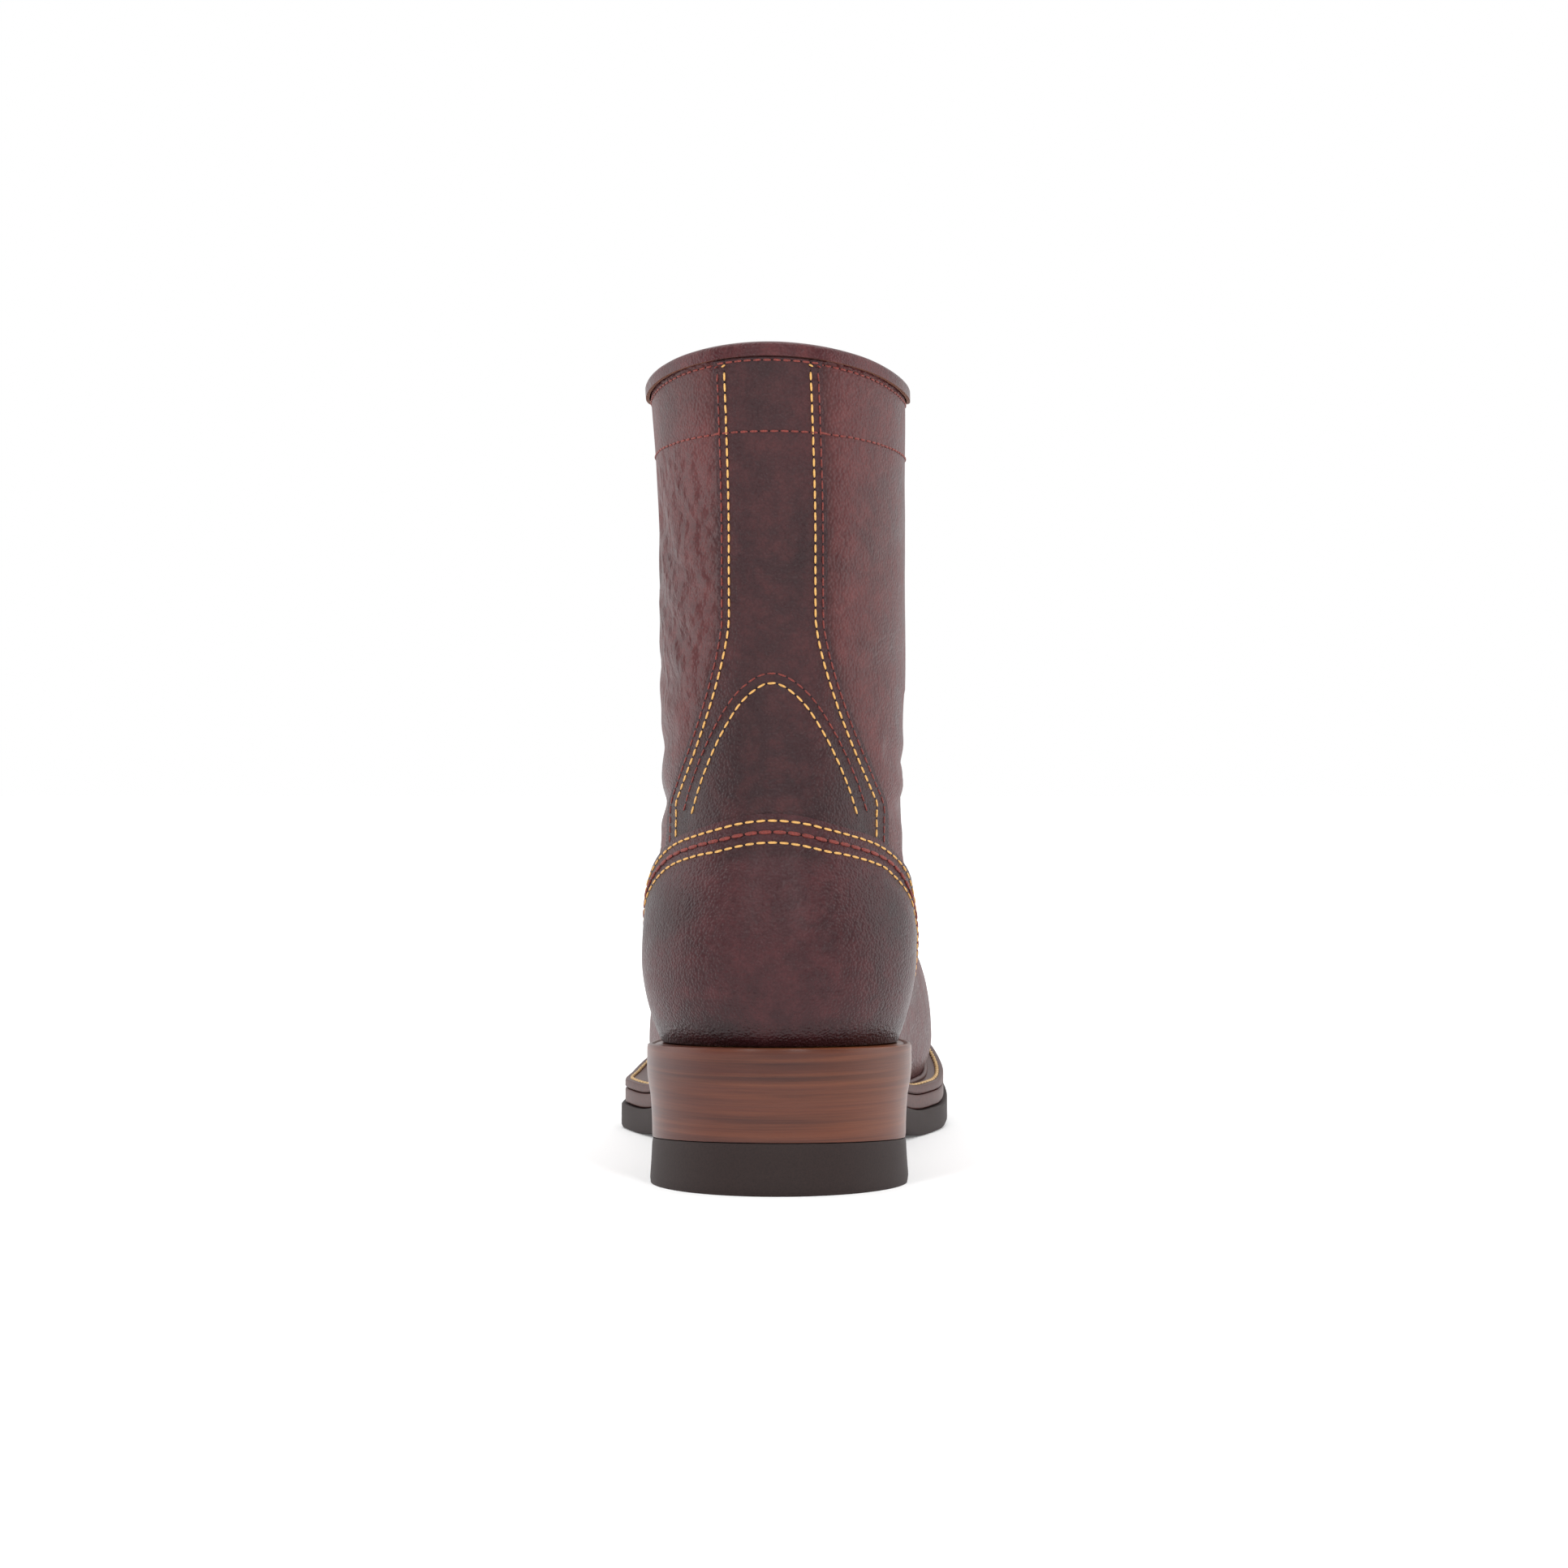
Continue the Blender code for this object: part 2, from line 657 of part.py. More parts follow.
def make_binding():
    """The rolled binding over the collar's edge, from one side of the throat to the other."""
    out = SEWN_GAP + BINDING_THICKNESS
    low, mid = BINDING_HEIGHT, 0.2 * BINDING_HEIGHT
    section = (
        # drop below the collar's edge, distance outside the last's surface
        (low, SEWN_GAP), (low, out), (mid, out), (-BINDING_CROWN, -0.3 * WALL),
        (-BINDING_CROWN, -0.7 * WALL), (mid, -WALL - out), (low, -WALL - out),
        (low, -WALL - SEWN_GAP), (-GAP, -WALL - SEWN_GAP), (-GAP, SEWN_GAP),
    )
    below = TOP_RING - 1
    mesh = bmesh.new()
    loops = []
    for high_turn, low_turn in zip(upper_turns(TOP_RING), upper_turns(below)):
        loop = []
        for drop, away in section:
            point = skin(TOP_RING, high_turn, away)
            under = skin(below, low_turn, away)
            share = max(0.0, drop) / (point.z - under.z)
            point = point.lerp(under, share) + Vector((0, 0, max(0.0, -drop)))
            loop.append(mesh.verts.new(point))
        loops.append(loop)
    size = len(section)
    for start, end in zip(loops, loops[1:]):
        for k in range(size):
            mesh.faces.new((start[k], start[(k + 1) % size], end[(k + 1) % size], end[k]))
    for loop in (loops[0], loops[-1][::-1]):
        for corners in ((0, 1, 2, 9), (9, 2, 3), (9, 3, 4, 8), (8, 4, 5), (8, 5, 6, 7)):
            ends = corners if loop is loops[0] else [size - 1 - k for k in corners]
            mesh.faces.new([loop[k] for k in ends])
    return finish(mesh, "collar_binding", DARK_LEATHER, 0.3)


def eyelet_places():
    """Ring and distance from the front line of every pair of eyelets, from the vamp up."""
    low, high = THROAT_ROW + 0.55, front_ring(COLLAR_HEIGHT - 2 * BINDING_HEIGHT) - 0.2
    rows = [mix(low, high, k / (EYELET_PAIRS - 1)) for k in range(EYELET_PAIRS)]
    return [(v, throat_half(v) + EYELET_INSET) for v in rows]


def ring_shift(v, distance):
    """How many rings a distance up the front of the boot is at ring v."""
    return distance * 0.1 / (place(v + 0.1, math.pi) - place(v, math.pi)).length


FACING_FACE = SEWN_GAP + FACING_THICKNESS


def ring_seat(tree, foot, normal, radius):
    """Middle of the plane that just clears the leather under a flat ring."""
    far, tries = 4 * radius, 12
    across = normal.orthogonal().normalized()
    up = normal.cross(across)
    highest = 0.0
    for k in range(tries):
        angle = 2 * math.pi * k / tries
        rim = foot + (across * math.cos(angle) + up * math.sin(angle)) * radius
        hit = tree.ray_cast(rim + normal * far, -normal, 2 * far)[0]
        if hit:
            highest = max(highest, (hit - foot).dot(normal))
    return foot + normal * highest


def make_eyelets():
    """Brass eyelets on the facings, low rings round their holes, and each pair's full height."""
    sides = 8
    heights = [0.0] * EYELET_PAIRS
    section = (
        # distance from the hole's axis, height over the ring's seat
        (EYELET_HOLE, 0.0), (EYELET_RADIUS, 0.0), (EYELET_RADIUS - 0.5 * MM, EYELET_THICKNESS),
        (EYELET_HOLE, EYELET_THICKNESS),
    )
    for side, word in ((1, "medial"), (-1, "lateral")):
        facing = bpy.data.objects[f"facing_{word}"].data
        tree = BVHTree.FromPolygons(
            [corner.co for corner in facing.vertices], [face.vertices for face in facing.polygons])
        for k, (v, distance) in enumerate(eyelet_places()):
            turn = side * edge_angle(v, distance)
            foot = skin(v, turn, FACING_FACE)
            normal = (skin(v, turn, FACING_FACE + EYELET_GAP) - foot).normalized()
            foot = ring_seat(tree, foot, normal, EYELET_RADIUS) + normal * EYELET_GAP
            height = (foot - place(v, turn)).dot(normal) + EYELET_THICKNESS
            heights[k] = max(heights[k], height)
            across = normal.cross(Vector((0, 0, 1))).normalized()
            up = normal.cross(across)
            mesh = bmesh.new()
            loops = []
            for i in range(sides):
                angle = 2 * math.pi * i / sides
                out = across * math.cos(angle) + up * math.sin(angle)
                loops.append([mesh.verts.new(foot + out * r + normal * h) for r, h in section])
            for i in range(sides):
                low, high = loops[i], loops[(i + 1) % sides]
                for m in range(4):
                    mesh.faces.new((low[m], low[(m + 1) % 4], high[(m + 1) % 4], high[m]))
            finish(mesh, f"eyelet_{word}_{k + 1}", BRASS, 0.35, 1.0)
    return heights


def front_point(v, distance, offset):
    """Point at a signed distance to the side of the front line."""
    turn = edge_angle(v, abs(distance))
    return skin(v, turn if distance >= 0 else 2 * math.pi - turn, offset)


def tube(name, points, radius, sides, colour, roughness):
    """A round bar along points, with flat ends."""
    mesh = bmesh.new()
    loops = []
    for i, point in enumerate(points):
        before, after = points[max(i - 1, 0)], points[min(i + 1, len(points) - 1)]
        ahead = (after - before).normalized()
        right = ahead.cross(Vector((0, 1, 0))).normalized()
        up = right.cross(ahead)
        loops.append([
            mesh.verts.new(point + (right * math.cos(a) + up * math.sin(a)) * radius)
            for a in (2 * math.pi * k / sides for k in range(sides))
        ])
    for low, high in zip(loops, loops[1:]):
        for k in range(sides):
            mesh.faces.new((low[k], low[(k + 1) % sides], high[(k + 1) % sides], high[k]))
    mesh.faces.new(loops[0][::-1])
    mesh.faces.new(loops[-1])
    return finish(mesh, name, colour, roughness)


def lace_bar(name, low, high, side, height):
    """One bar of the lace, over the eyelets from one side to the other side."""
    away = height + 4 * GAP + LACE_DIAMETER / 2
    steps = 3
    points = []
    clear = 0.56 * LACE_DIAMETER
    start, end = low[0] + ring_shift(low[0], clear), high[0] - ring_shift(high[0], clear)
    if low is high:
        start = end
    for k in range(steps + 1):
        share = k / steps
        v = mix(start, end, share)
        distance = mix(-low[1], high[1], share) * side
        points.append(front_point(v, distance, away))
    return tube(name, points, LACE_DIAMETER / 2, 6, CORD, 0.7)


def make_lace(heights):
    """The lace: one bar at the vamp, and a joined crossing between each two pairs of eyelets."""
    places = eyelet_places()
    lace_bar("lace_bar", places[0], places[0], 1, heights[0])
    for number, (low, high) in enumerate(zip(places, places[1:]), 1):
        height = max(heights[number - 1:number + 1])
        one = lace_bar(f"lace_cross_{number}", low, high, 1, height)
        other = lace_bar(f"lace_cutter_{number}", low, high, -1, height)
        join = one.modifiers.new("join", "BOOLEAN")
        join.operation = "UNION"
        join.object = other
        other.hide_render = True
        other.display_type = "WIRE"


def sole_stations(start, end):
    """Places along the foot at which every layer of the sole has its corners."""
    places = [place(0, turn).y + ORIGIN_S for turn in upper_turns(0) if turn >= 0]
    heel, toe = places[0], LENGTH - places[-1]
    places += [heel * share for share in (0.1, 0.4, 0.7)]
    places += [LENGTH - toe * share for share in (0.05, 0.2, 0.45, 0.75)]
    places.sort()
    places += [mix(a, b, 0.5) for a, b in zip(places, places[1:]) if b - a > STATION_STEP]
    margin = 0.6 * MM
    inside = [s for s in places if start + margin < s < end - margin]
    return sorted([start, end] + inside)


def section_solid(name, places, section, colour, roughness):
    """A solid from one closed section of points per place along the foot."""
    mesh = bmesh.new()
    loops = []
    for s in places:
        loops.append([mesh.verts.new((x, s - ORIGIN_S, z)) for x, z in section(s)])
    size = len(loops[0])
    for low, high in zip(loops, loops[1:]):
        for k in range(size):
            mesh.faces.new((low[k], low[(k + 1) % size], high[(k + 1) % size], high[k]))
    mesh.faces.new(loops[0])
    mesh.faces.new(loops[-1][::-1])
    return finish(mesh, name, colour, roughness)


def plate_section(s, grow, low, high, bevel=0.0):
    """Four corners of a plate at s, or six where its lower edges are bevelled."""
    inner, outer = sole_half(s, 1, grow), -sole_half(s, -1, grow)
    if bevel <= 0:
        return [(outer, low), (inner, low), (inner, high), (outer, high)]
    cut_in, cut_out = inner - min(bevel, 0.5 * inner), outer + min(bevel, -0.5 * outer)
    return [(cut_out, low), (cut_in, low), (inner, low + bevel), (inner, high), (outer, high),
            (outer, low + bevel)]


def make_midsole():
    """The leather midsole under the whole foot."""
    tip = 0.05 * MM
    return section_solid(
        "midsole", sole_stations(tip, LENGTH - tip),
        lambda s: plate_section(s, 0, sole_line(s), midsole_top(s)), SOLE_LEATHER, 0.45)


def rubber_depth(s):
    """Thickness of the half sole, which thins out at the shank."""
    return mix(RUBBER_THIN, RUBBER_THICKNESS, smooth(s, RUBBER_START, RUBBER_START + RUBBER_TAPER))


def make_half_sole():
    """The rubber half sole, from the shank to the toe, with a flat spot at the ball."""
    end = LENGTH + RUBBER_LEDGE - 0.05 * MM
    flat = [BALL_PLACE - BALL_FLAT / 2, BALL_PLACE + BALL_FLAT / 2]
    places = [s for s in sole_stations(RUBBER_START, end) if min(abs(s - f) for f in flat) > 4 * MM]
    places = sorted(places + flat)

    def section(s):
        top = sole_line(s) - GAP
        return plate_section(s, RUBBER_LEDGE, top - rubber_depth(s), top, RUBBER_BEVEL)

    return section_solid("half_sole", places, section, RUBBER, 0.6)


def lift_top(s, number):
    """Underside of lift number: 0 is the rubber's top and LIFT_COUNT is the heel seat."""
    rubber = TOP_LIFT_BACK - TOP_LIFT_FALL * s
    return mix(rubber, sole_line(min(s, HEEL_LENGTH)) - GAP, number / LIFT_COUNT)


def heel_inset(z):
    """How far the heel's side lies inside the edge of the heel seat at a height."""
    share = z / HEEL_SEAT_BACK
    bow = math.sin(math.pi * min(1.0, max(0.0, share)))
    return HEEL_HOLLOW * bow + HEEL_FLARE * (1 - share)


def breast(x, z):
    """Place of the heel's front face, which slants back towards the floor and is hollow."""
    across = min(1.0, abs(x) / (0.358 * BALL_WIDTH))
    down = 1 - z / HEEL_SEAT_BACK
    return HEEL_LENGTH - BREAST_SLANT * down - BREAST_CURVE * (1 - across**2)


def make_lift(name, bottom_of, top_of, colour, roughness):
    """One layer of the heel, round at the back, with the heel's hollow sides."""
    around, across = 26, 6
    mesh = bmesh.new()
    levels = []
    for height_of in (bottom_of, top_of):
        ring = []
        reach = HEEL_LENGTH - BREAST_SLANT
        for i in range(-around // 2, around // 2 + 1):
            share = abs(2 * i / around)
            s = reach * (1 - math.cos(math.pi / 2 * share)) if share < 1 else reach
            z = height_of(s)
            inset = heel_inset(z)
            side = 1 if i >= 0 else -1
            half = max(0.0, sole_half(max(s, 0.0), side, 0) - inset * min(1.0, s / HEEL_ROUND))
            if share == 1:
                s = breast(half, z)
            back = inset * (1 - min(1.0, s / HEEL_ROUND))
            ring.append(mesh.verts.new((side * half, s + back - ORIGIN_S, height_of(s))))
        last, first = ring[-1].co.x, ring[0].co.x
        for k in range(1, across):
            x = mix(last, first, k / across)
            s = breast(x, height_of(HEEL_LENGTH))
            ring.append(mesh.verts.new((x, s - ORIGIN_S, height_of(s))))
        levels.append(ring)
    low, high = levels
    size = len(low)
    for k in range(size):
        mesh.faces.new((low[k], low[(k + 1) % size], high[(k + 1) % size], high[k]))
    mesh.faces.new(low[::-1])
    mesh.faces.new(high)
    bmesh.ops.triangulate(mesh, faces=mesh.faces)
    return finish(mesh, name, colour, roughness)


def make_heel():
    """The stack of leather lifts and the rubber top lift on which the heel rests."""
    make_lift("top_lift", lambda s: 0.0, lambda s: lift_top(s, 0) - GAP, RUBBER, 0.6)
    for number in range(LIFT_COUNT):
        gap = GAP if number < LIFT_COUNT - 1 else 0.0
        make_lift(
            f"heel_lift_{number + 1}",
            lambda s, n=number: lift_top(s, n),
            lambda s, n=number, g=gap: lift_top(s, n + 1) - g,
            HEEL_LEATHER, 0.35)


def feather(turn, offset):
    """Point of the upper's lower edge in plan."""
    return skin(0, turn, offset)


def inner_stations(start, end, first):
    """Places along the foot for the parts inside the feather line, closer at its ends."""
    near = [first + step for step in END_STEPS]
    ends = [start + step for step in near] + [end - step for step in near]
    middle = sole_stations(ends[2] + GAP, ends[5] - GAP)[1:-1]
    return sorted(ends + middle)


def feather_half(side, inset):
    """Ends of the feather line drawn in by inset, and its half width on one side over s."""
    points = [feather(side * math.pi * k / 90, -inset) for k in range(91)]
    places = [point.y + ORIGIN_S for point in points]
    widths = [abs(point.x) for point in points]
    widths[0] = widths[-1] = 0.0
    return places[0], places[-1], lambda s: float(np.interp(s, places, widths))


def make_welt():
    """The welt: a ring between the sole's edge and the insole, on which the upper stands."""
    mesh = bmesh.new()
    tip = 0.05 * MM
    sides = []
    for side in (1, -1):
        start, end, half = feather_half(side, WALL + GAP)
        outside = [s for s in sole_stations(tip, LENGTH - tip) if s < start - GAP or s > end + GAP]
        places = sorted(outside + [start, end] + inner_stations(start, end, GAP))
        loops = []
        for s in places:
            inner_s = min(max(s, start), end)
            inner_x = side * half(inner_s) if start < s < end else 0.0
            outer_x = side * sole_half(s, side) if tip < s < LENGTH - tip else 0.0
            low_in, low_out = midsole_top(inner_s) + GAP, midsole_top(s) + GAP
            loops.append([
                mesh.verts.new((inner_x, inner_s - ORIGIN_S, low_in)),
                mesh.verts.new((outer_x, s - ORIGIN_S, low_out)),
                mesh.verts.new((outer_x, s - ORIGIN_S, low_out + WELT_THICKNESS)),
                mesh.verts.new((inner_x, inner_s - ORIGIN_S, low_in + WELT_THICKNESS)),
            ])
        sides.append(loops)
    for loops in sides:
        for low, high in zip(loops, loops[1:]):
            for k in range(4):
                mesh.faces.new((low[k], low[(k + 1) % 4], high[(k + 1) % 4], high[k]))
    return finish(mesh, "welt", SOLE_LEATHER, 0.45)


def make_insole():
    """The insole inside the welt, on the midsole."""
    start, end, medial = feather_half(1, WALL + 2 * GAP)
    _, _, lateral = feather_half(-1, WALL + 2 * GAP)

    def section(s):
        low = midsole_top(s) + GAP
        high = low + INSOLE_THICKNESS
        return [(-lateral(s), low), (medial(s), low), (medial(s), high), (-lateral(s), high)]

    return section_solid(
        "insole", inner_stations(start, end, 0.0), section, INSOLE_LEATHER, 0.7)


def main():
    for item in list(bpy.data.objects):
        bpy.data.objects.remove(item)
    make_upper()
    make_tongue()
    make_insole()
    make_welt()
    make_midsole()
    make_half_sole()
    make_heel()
    make_counter()
    make_backstay()
    make_binding()
    make_facing("facing_medial", 1)
    make_facing("facing_lateral", -1)
    make_lace(make_eyelets())


main()
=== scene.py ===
# %% [markdown]
# # A laced packer boot, seen from behind
#
# The CAD model holds the boot's solids as flat facets. This lesson dresses them: each leather
# piece is made again as a fine sheet on the same last, then sewn, creased and coloured. We start
# by loading the frame, because every later piece has to sit exactly where its CAD node sits.

# %% Load the frame
import json
import math

import bmesh
import bpy
import numpy as np
from mathutils import Matrix, Vector, noise
from mathutils.bvhtree import BVHTree

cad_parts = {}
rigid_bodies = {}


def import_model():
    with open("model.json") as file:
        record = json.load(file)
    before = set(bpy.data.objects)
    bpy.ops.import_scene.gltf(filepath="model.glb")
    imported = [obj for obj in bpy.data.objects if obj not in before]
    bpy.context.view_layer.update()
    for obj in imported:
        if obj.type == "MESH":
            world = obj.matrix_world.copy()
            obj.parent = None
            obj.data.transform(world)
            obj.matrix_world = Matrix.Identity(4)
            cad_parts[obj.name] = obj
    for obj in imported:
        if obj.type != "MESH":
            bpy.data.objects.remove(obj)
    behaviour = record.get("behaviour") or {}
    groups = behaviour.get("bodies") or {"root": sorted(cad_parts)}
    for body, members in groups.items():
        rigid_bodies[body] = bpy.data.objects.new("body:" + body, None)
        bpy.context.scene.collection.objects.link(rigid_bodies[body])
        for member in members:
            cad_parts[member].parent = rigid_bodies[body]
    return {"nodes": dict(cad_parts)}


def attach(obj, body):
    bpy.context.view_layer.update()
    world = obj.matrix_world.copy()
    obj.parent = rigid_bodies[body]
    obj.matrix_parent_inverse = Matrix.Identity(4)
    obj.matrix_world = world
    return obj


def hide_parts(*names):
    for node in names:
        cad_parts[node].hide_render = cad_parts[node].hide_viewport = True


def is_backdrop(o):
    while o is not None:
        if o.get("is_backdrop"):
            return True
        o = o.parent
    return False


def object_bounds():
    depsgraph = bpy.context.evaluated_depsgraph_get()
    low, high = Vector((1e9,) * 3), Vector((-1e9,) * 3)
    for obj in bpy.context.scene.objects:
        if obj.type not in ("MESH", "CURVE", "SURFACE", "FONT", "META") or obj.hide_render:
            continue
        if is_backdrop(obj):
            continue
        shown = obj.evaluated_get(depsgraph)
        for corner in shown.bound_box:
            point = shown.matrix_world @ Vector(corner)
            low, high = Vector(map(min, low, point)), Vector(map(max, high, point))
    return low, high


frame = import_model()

MM = 0.001
CAD_BOX = [list(corner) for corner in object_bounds()]
print("CAD box, mm:", [[round(1000 * c, 1) for c in corner] for corner in CAD_BOX])

# %% [markdown]
# ## The boot's sizes
#
# A boot is drawn from a few sizes: the sole's length, the ball's width, the instep, the heel and
# the shaft. They are the same named values that shape the CAD solids, so both stay in step. All
# of them are in metres, and s is the distance from the back of the heel seat.

# %% Sizes
# Driving dimensions of the sole
LENGTH = 305 * MM
BALL_WIDTH = 110.5 * MM
TOE_SPRING = 21 * MM
BALL_PLACE = 188 * MM
BALL_FLAT = 16 * MM
HEEL_ROUND = 42 * MM
TOE_ROUND = 88 * MM
TOE_FULLNESS = 2.4
MIDSOLE_THICKNESS = 5 * MM
WELT_THICKNESS = 3 * MM
RUBBER_THICKNESS = 8.6 * MM
RUBBER_LEDGE = 1.3 * MM
RUBBER_START = 128 * MM
RUBBER_TAPER = 34 * MM
RUBBER_THIN = 2 * MM
RUBBER_BEVEL = 1.2 * MM

# Driving dimensions of the heel
HEEL_LENGTH = 80 * MM
HEEL_SEAT_BACK = 34.9 * MM
HEEL_PITCH = 0.0385
TOP_LIFT_BACK = 15.6 * MM
TOP_LIFT_FALL = 0.05
LIFT_COUNT = 4
HEEL_HOLLOW = 1.2 * MM
HEEL_FLARE = 0.7 * MM
BREAST_SLANT = 4 * MM
BREAST_CURVE = 4 * MM

# Driving dimensions of the upper
COLLAR_HEIGHT = 249 * MM
COLLAR_DIP = 6.5 * MM
ANKLE_HEIGHT = 115 * MM
INSTEP_RISE = 100 * MM
SHAFT_DEPTH = 120 * MM
SHAFT_WIDTH = 75.6 * MM
HEEL_CURVE = 10 * MM
WALL = 2.4 * MM
THROAT_ROW = 7.6
THROAT_GAP = 19 * MM

# Driving dimensions of what is sewn to the upper
COUNTER_THICKNESS = 2.0 * MM
BACKSTAY_THICKNESS = 1.2 * MM
BACKSTAY_WIDTH = 30.6 * MM
BACKSTAY_FOOT_WIDTH = 64 * MM
BACKSTAY_FLARE_HEIGHT = 168 * MM
FACING_THICKNESS = 1.2 * MM
FACING_WIDTH = 25 * MM
TONGUE_THICKNESS = 2.0 * MM
TONGUE_WIDTH = 70 * MM
TONGUE_TOP = 8 * MM
BINDING_HEIGHT = 4.2 * MM
BINDING_THICKNESS = 1.2 * MM
BINDING_CROWN = 1.5 * MM

# Driving dimensions of the lacing
EYELET_PAIRS = 7
EYELET_RADIUS = 4.2 * MM
EYELET_HOLE = 2.2 * MM
EYELET_THICKNESS = 0.8 * MM
EYELET_INSET = 11 * MM
LACE_DIAMETER = 3.2 * MM

# Clearances between pieces
GAP = 0.3 * MM
SEWN_GAP = 0.35 * MM
TONGUE_GAP = 0.55 * MM
EDGE_TRIM = 0.05 * MM

ORIGIN_S = HEEL_LENGTH / 2
END_SHARE = 0.2
print("sole", LENGTH, "m long, collar", COLLAR_HEIGHT, "m high")

# %% Tables of shares
# Edge of the welt and midsole in plan: place along LENGTH, widths as shares of BALL_WIDTH
SOLE_PLAN = (
    # place, medial, lateral
    (0.00, 0.352, 0.352),
    (0.20, 0.358, 0.358),
    (0.42, 0.275, 0.335),
    (0.64, 0.425, 0.556),
    (0.70, 0.443, 0.552),
    (0.80, 0.430, 0.520),
    (1.00, 0.395, 0.455),
)

# The last in plan at its widest: shares as above, and how much it draws in at the feather line
LAST_PLAN = (
    # place, medial, lateral, tuck
    (0.00, 0.352, 0.352, 0.150),
    (0.18, 0.352, 0.352, 0.150),
    (0.42, 0.300, 0.345, 0.160),
    (0.66, 0.400, 0.487, 0.090),
    (0.74, 0.402, 0.478, 0.080),
    (1.00, 0.375, 0.425, 0.060),
)

# Rings of the foot, from the feather line to the instep: the back rises in shares of the way to
# ANKLE_HEIGHT and moves in by shares of HEEL_CURVE; the front rises over the sole in shares of
# INSTEP_RISE and reaches along LENGTH
FOOT_RINGS = (
    # back_rise, back_in, front_rise, front_reach
    (0.000, 0.62, 0.004, 0.976),
    (0.085, 0.22, 0.135, 0.985),
    (0.180, -0.02, 0.262, 0.971),
    (0.280, -0.12, 0.385, 0.932),
    (0.380, -0.13, 0.478, 0.872),
    (0.480, -0.06, 0.565, 0.787),
    (0.590, 0.12, 0.652, 0.695),
    (0.710, 0.34, 0.750, 0.610),
    (0.850, 0.56, 0.860, 0.541),
    (1.000, 0.72, 1.000, 0.489),
)

# Rings of the shaft: rises are shares of the way from the ankle, or instep, to the collar,
# and depth is a share of SHAFT_DEPTH
SHAFT_RINGS = (
    # back_rise, back_in, front_rise, depth
    (0.12, 0.80, 0.19, 1.065),
    (0.32, 0.74, 0.41, 1.000),
    (0.64, 0.50, 0.70, 0.980),
    (1.00, 0.24, 1.00, 0.996),
)

# The shaft seen from behind: height as a share of COLLAR_HEIGHT, width as a share of
# SHAFT_WIDTH, and how far its middle leans to the inner side as a share of SHAFT_WIDTH
SHAFT_SECTIONS = (
    # height, width, lean
    (0.28, 0.985, 0.010),
    (0.42, 0.962, 0.002),
    (0.52, 0.990, 0.002),
    (0.70, 1.000, 0.000),
    (0.80, 1.000, 0.000),
    (0.90, 1.018, -0.008),
    (1.00, 1.045, -0.020),
)

# Top edge of the counter seen from the side: place in shares of HEEL_LENGTH, height as a share
# of the way from the heel seat to ANKLE_HEIGHT
COUNTER_EDGE = (
    # place, height
    (-0.05, 0.985),
    (0.05, 0.965),
    (0.15, 0.900),
    (0.35, 0.815),
    (0.50, 0.700),
    (0.65, 0.505),
    (0.85, 0.290),
    (0.97, 0.140),
    (1.05, -0.100),
)

# %% [markdown]
# ## Curves from few points
#
# A shoemaker bends a thin lath through a few measured points. These helpers do the same: an ease,
# a straight blend, and a smooth curve through the rows of a table.

# %% Small helpers
def smooth(x, low, high):
    """Ease from 0 at low to 1 at high."""
    t = min(1.0, max(0.0, (x - low) / (high - low)))
    return t * t * (3 - 2 * t)


def mix(a, b, t):
    """Straight blend from a to b."""
    return a + (b - a) * t


def spline(xs, ys):
    """A smooth curve through points, level with its last point past either end."""
    xs = [float(x) for x in xs]
    ys = [float(y) for y in ys]
    slopes = []
    for i in range(len(xs)):
        low, high = max(i - 1, 0), min(i + 1, len(xs) - 1)
        slopes.append((ys[high] - ys[low]) / (xs[high] - xs[low]))

    def curve(x):
        if x <= xs[0]:
            return ys[0]
        if x >= xs[-1]:
            return ys[-1]
        i = next(k for k in range(len(xs) - 1) if x <= xs[k + 1])
        span = xs[i + 1] - xs[i]
        t = (x - xs[i]) / span
        rise = (2 * t**3 - 3 * t**2 + 1) * ys[i] + (3 * t**2 - 2 * t**3) * ys[i + 1]
        lean = (t**3 - 2 * t**2 + t) * slopes[i] + (t**3 - t**2) * slopes[i + 1]
        return rise + lean * span

    return curve


def curves_through(points):
    """A smooth curve of each axis of a path, over the number of its point."""
    number = range(len(points))
    return [spline(number, [point[k] for point in points]) for k in range(len(points[0]))]


def column(table, index, scale=1.0):
    """A smooth curve of one column of a table over its first column."""
    return spline([row[0] for row in table], [row[index] * scale for row in table])

# %% [markdown]
# ## The sole line and its outline
#
# Seen from the side a sole is flat at the ball, climbs along the shank to the heel seat and lifts
# at the toe. Seen from above it is wide at the ball and narrow at the waist. Two functions say
# this once, and every layer of the sole is then an offset of them.

# %% Sole line and outline
def toe_rise(s):
    """Height of the sole's underside over the floor in front of the ball."""
    start = BALL_PLACE + BALL_FLAT / 2
    if s <= start:
        return 0.0
    return TOE_SPRING * ((s - start) / (LENGTH - start)) ** 1.5


def sole_line(s):
    """Underside of the midsole: the heel seat, the shank, the flat at the ball and the toe."""
    heel_seat = HEEL_SEAT_BACK - HEEL_PITCH * min(s, HEEL_LENGTH)
    along = (s - HEEL_LENGTH) / (BALL_PLACE - BALL_FLAT / 2 - HEEL_LENGTH)
    drop = (1 - math.cos(math.pi * min(1.0, max(0.0, along)))) / 2
    return mix(heel_seat, RUBBER_THICKNESS + GAP, drop) + toe_rise(s)


def midsole_top(s):
    """Top of the midsole, on which the welt lies."""
    return sole_line(s) + MIDSOLE_THICKNESS


def seat(s):
    """Top of the welt, on which the upper stands."""
    return midsole_top(s) + GAP + WELT_THICKNESS


SOLE_SIDES = {
    1: column(SOLE_PLAN, 1, BALL_WIDTH),
    -1: column(SOLE_PLAN, 2, BALL_WIDTH),
}


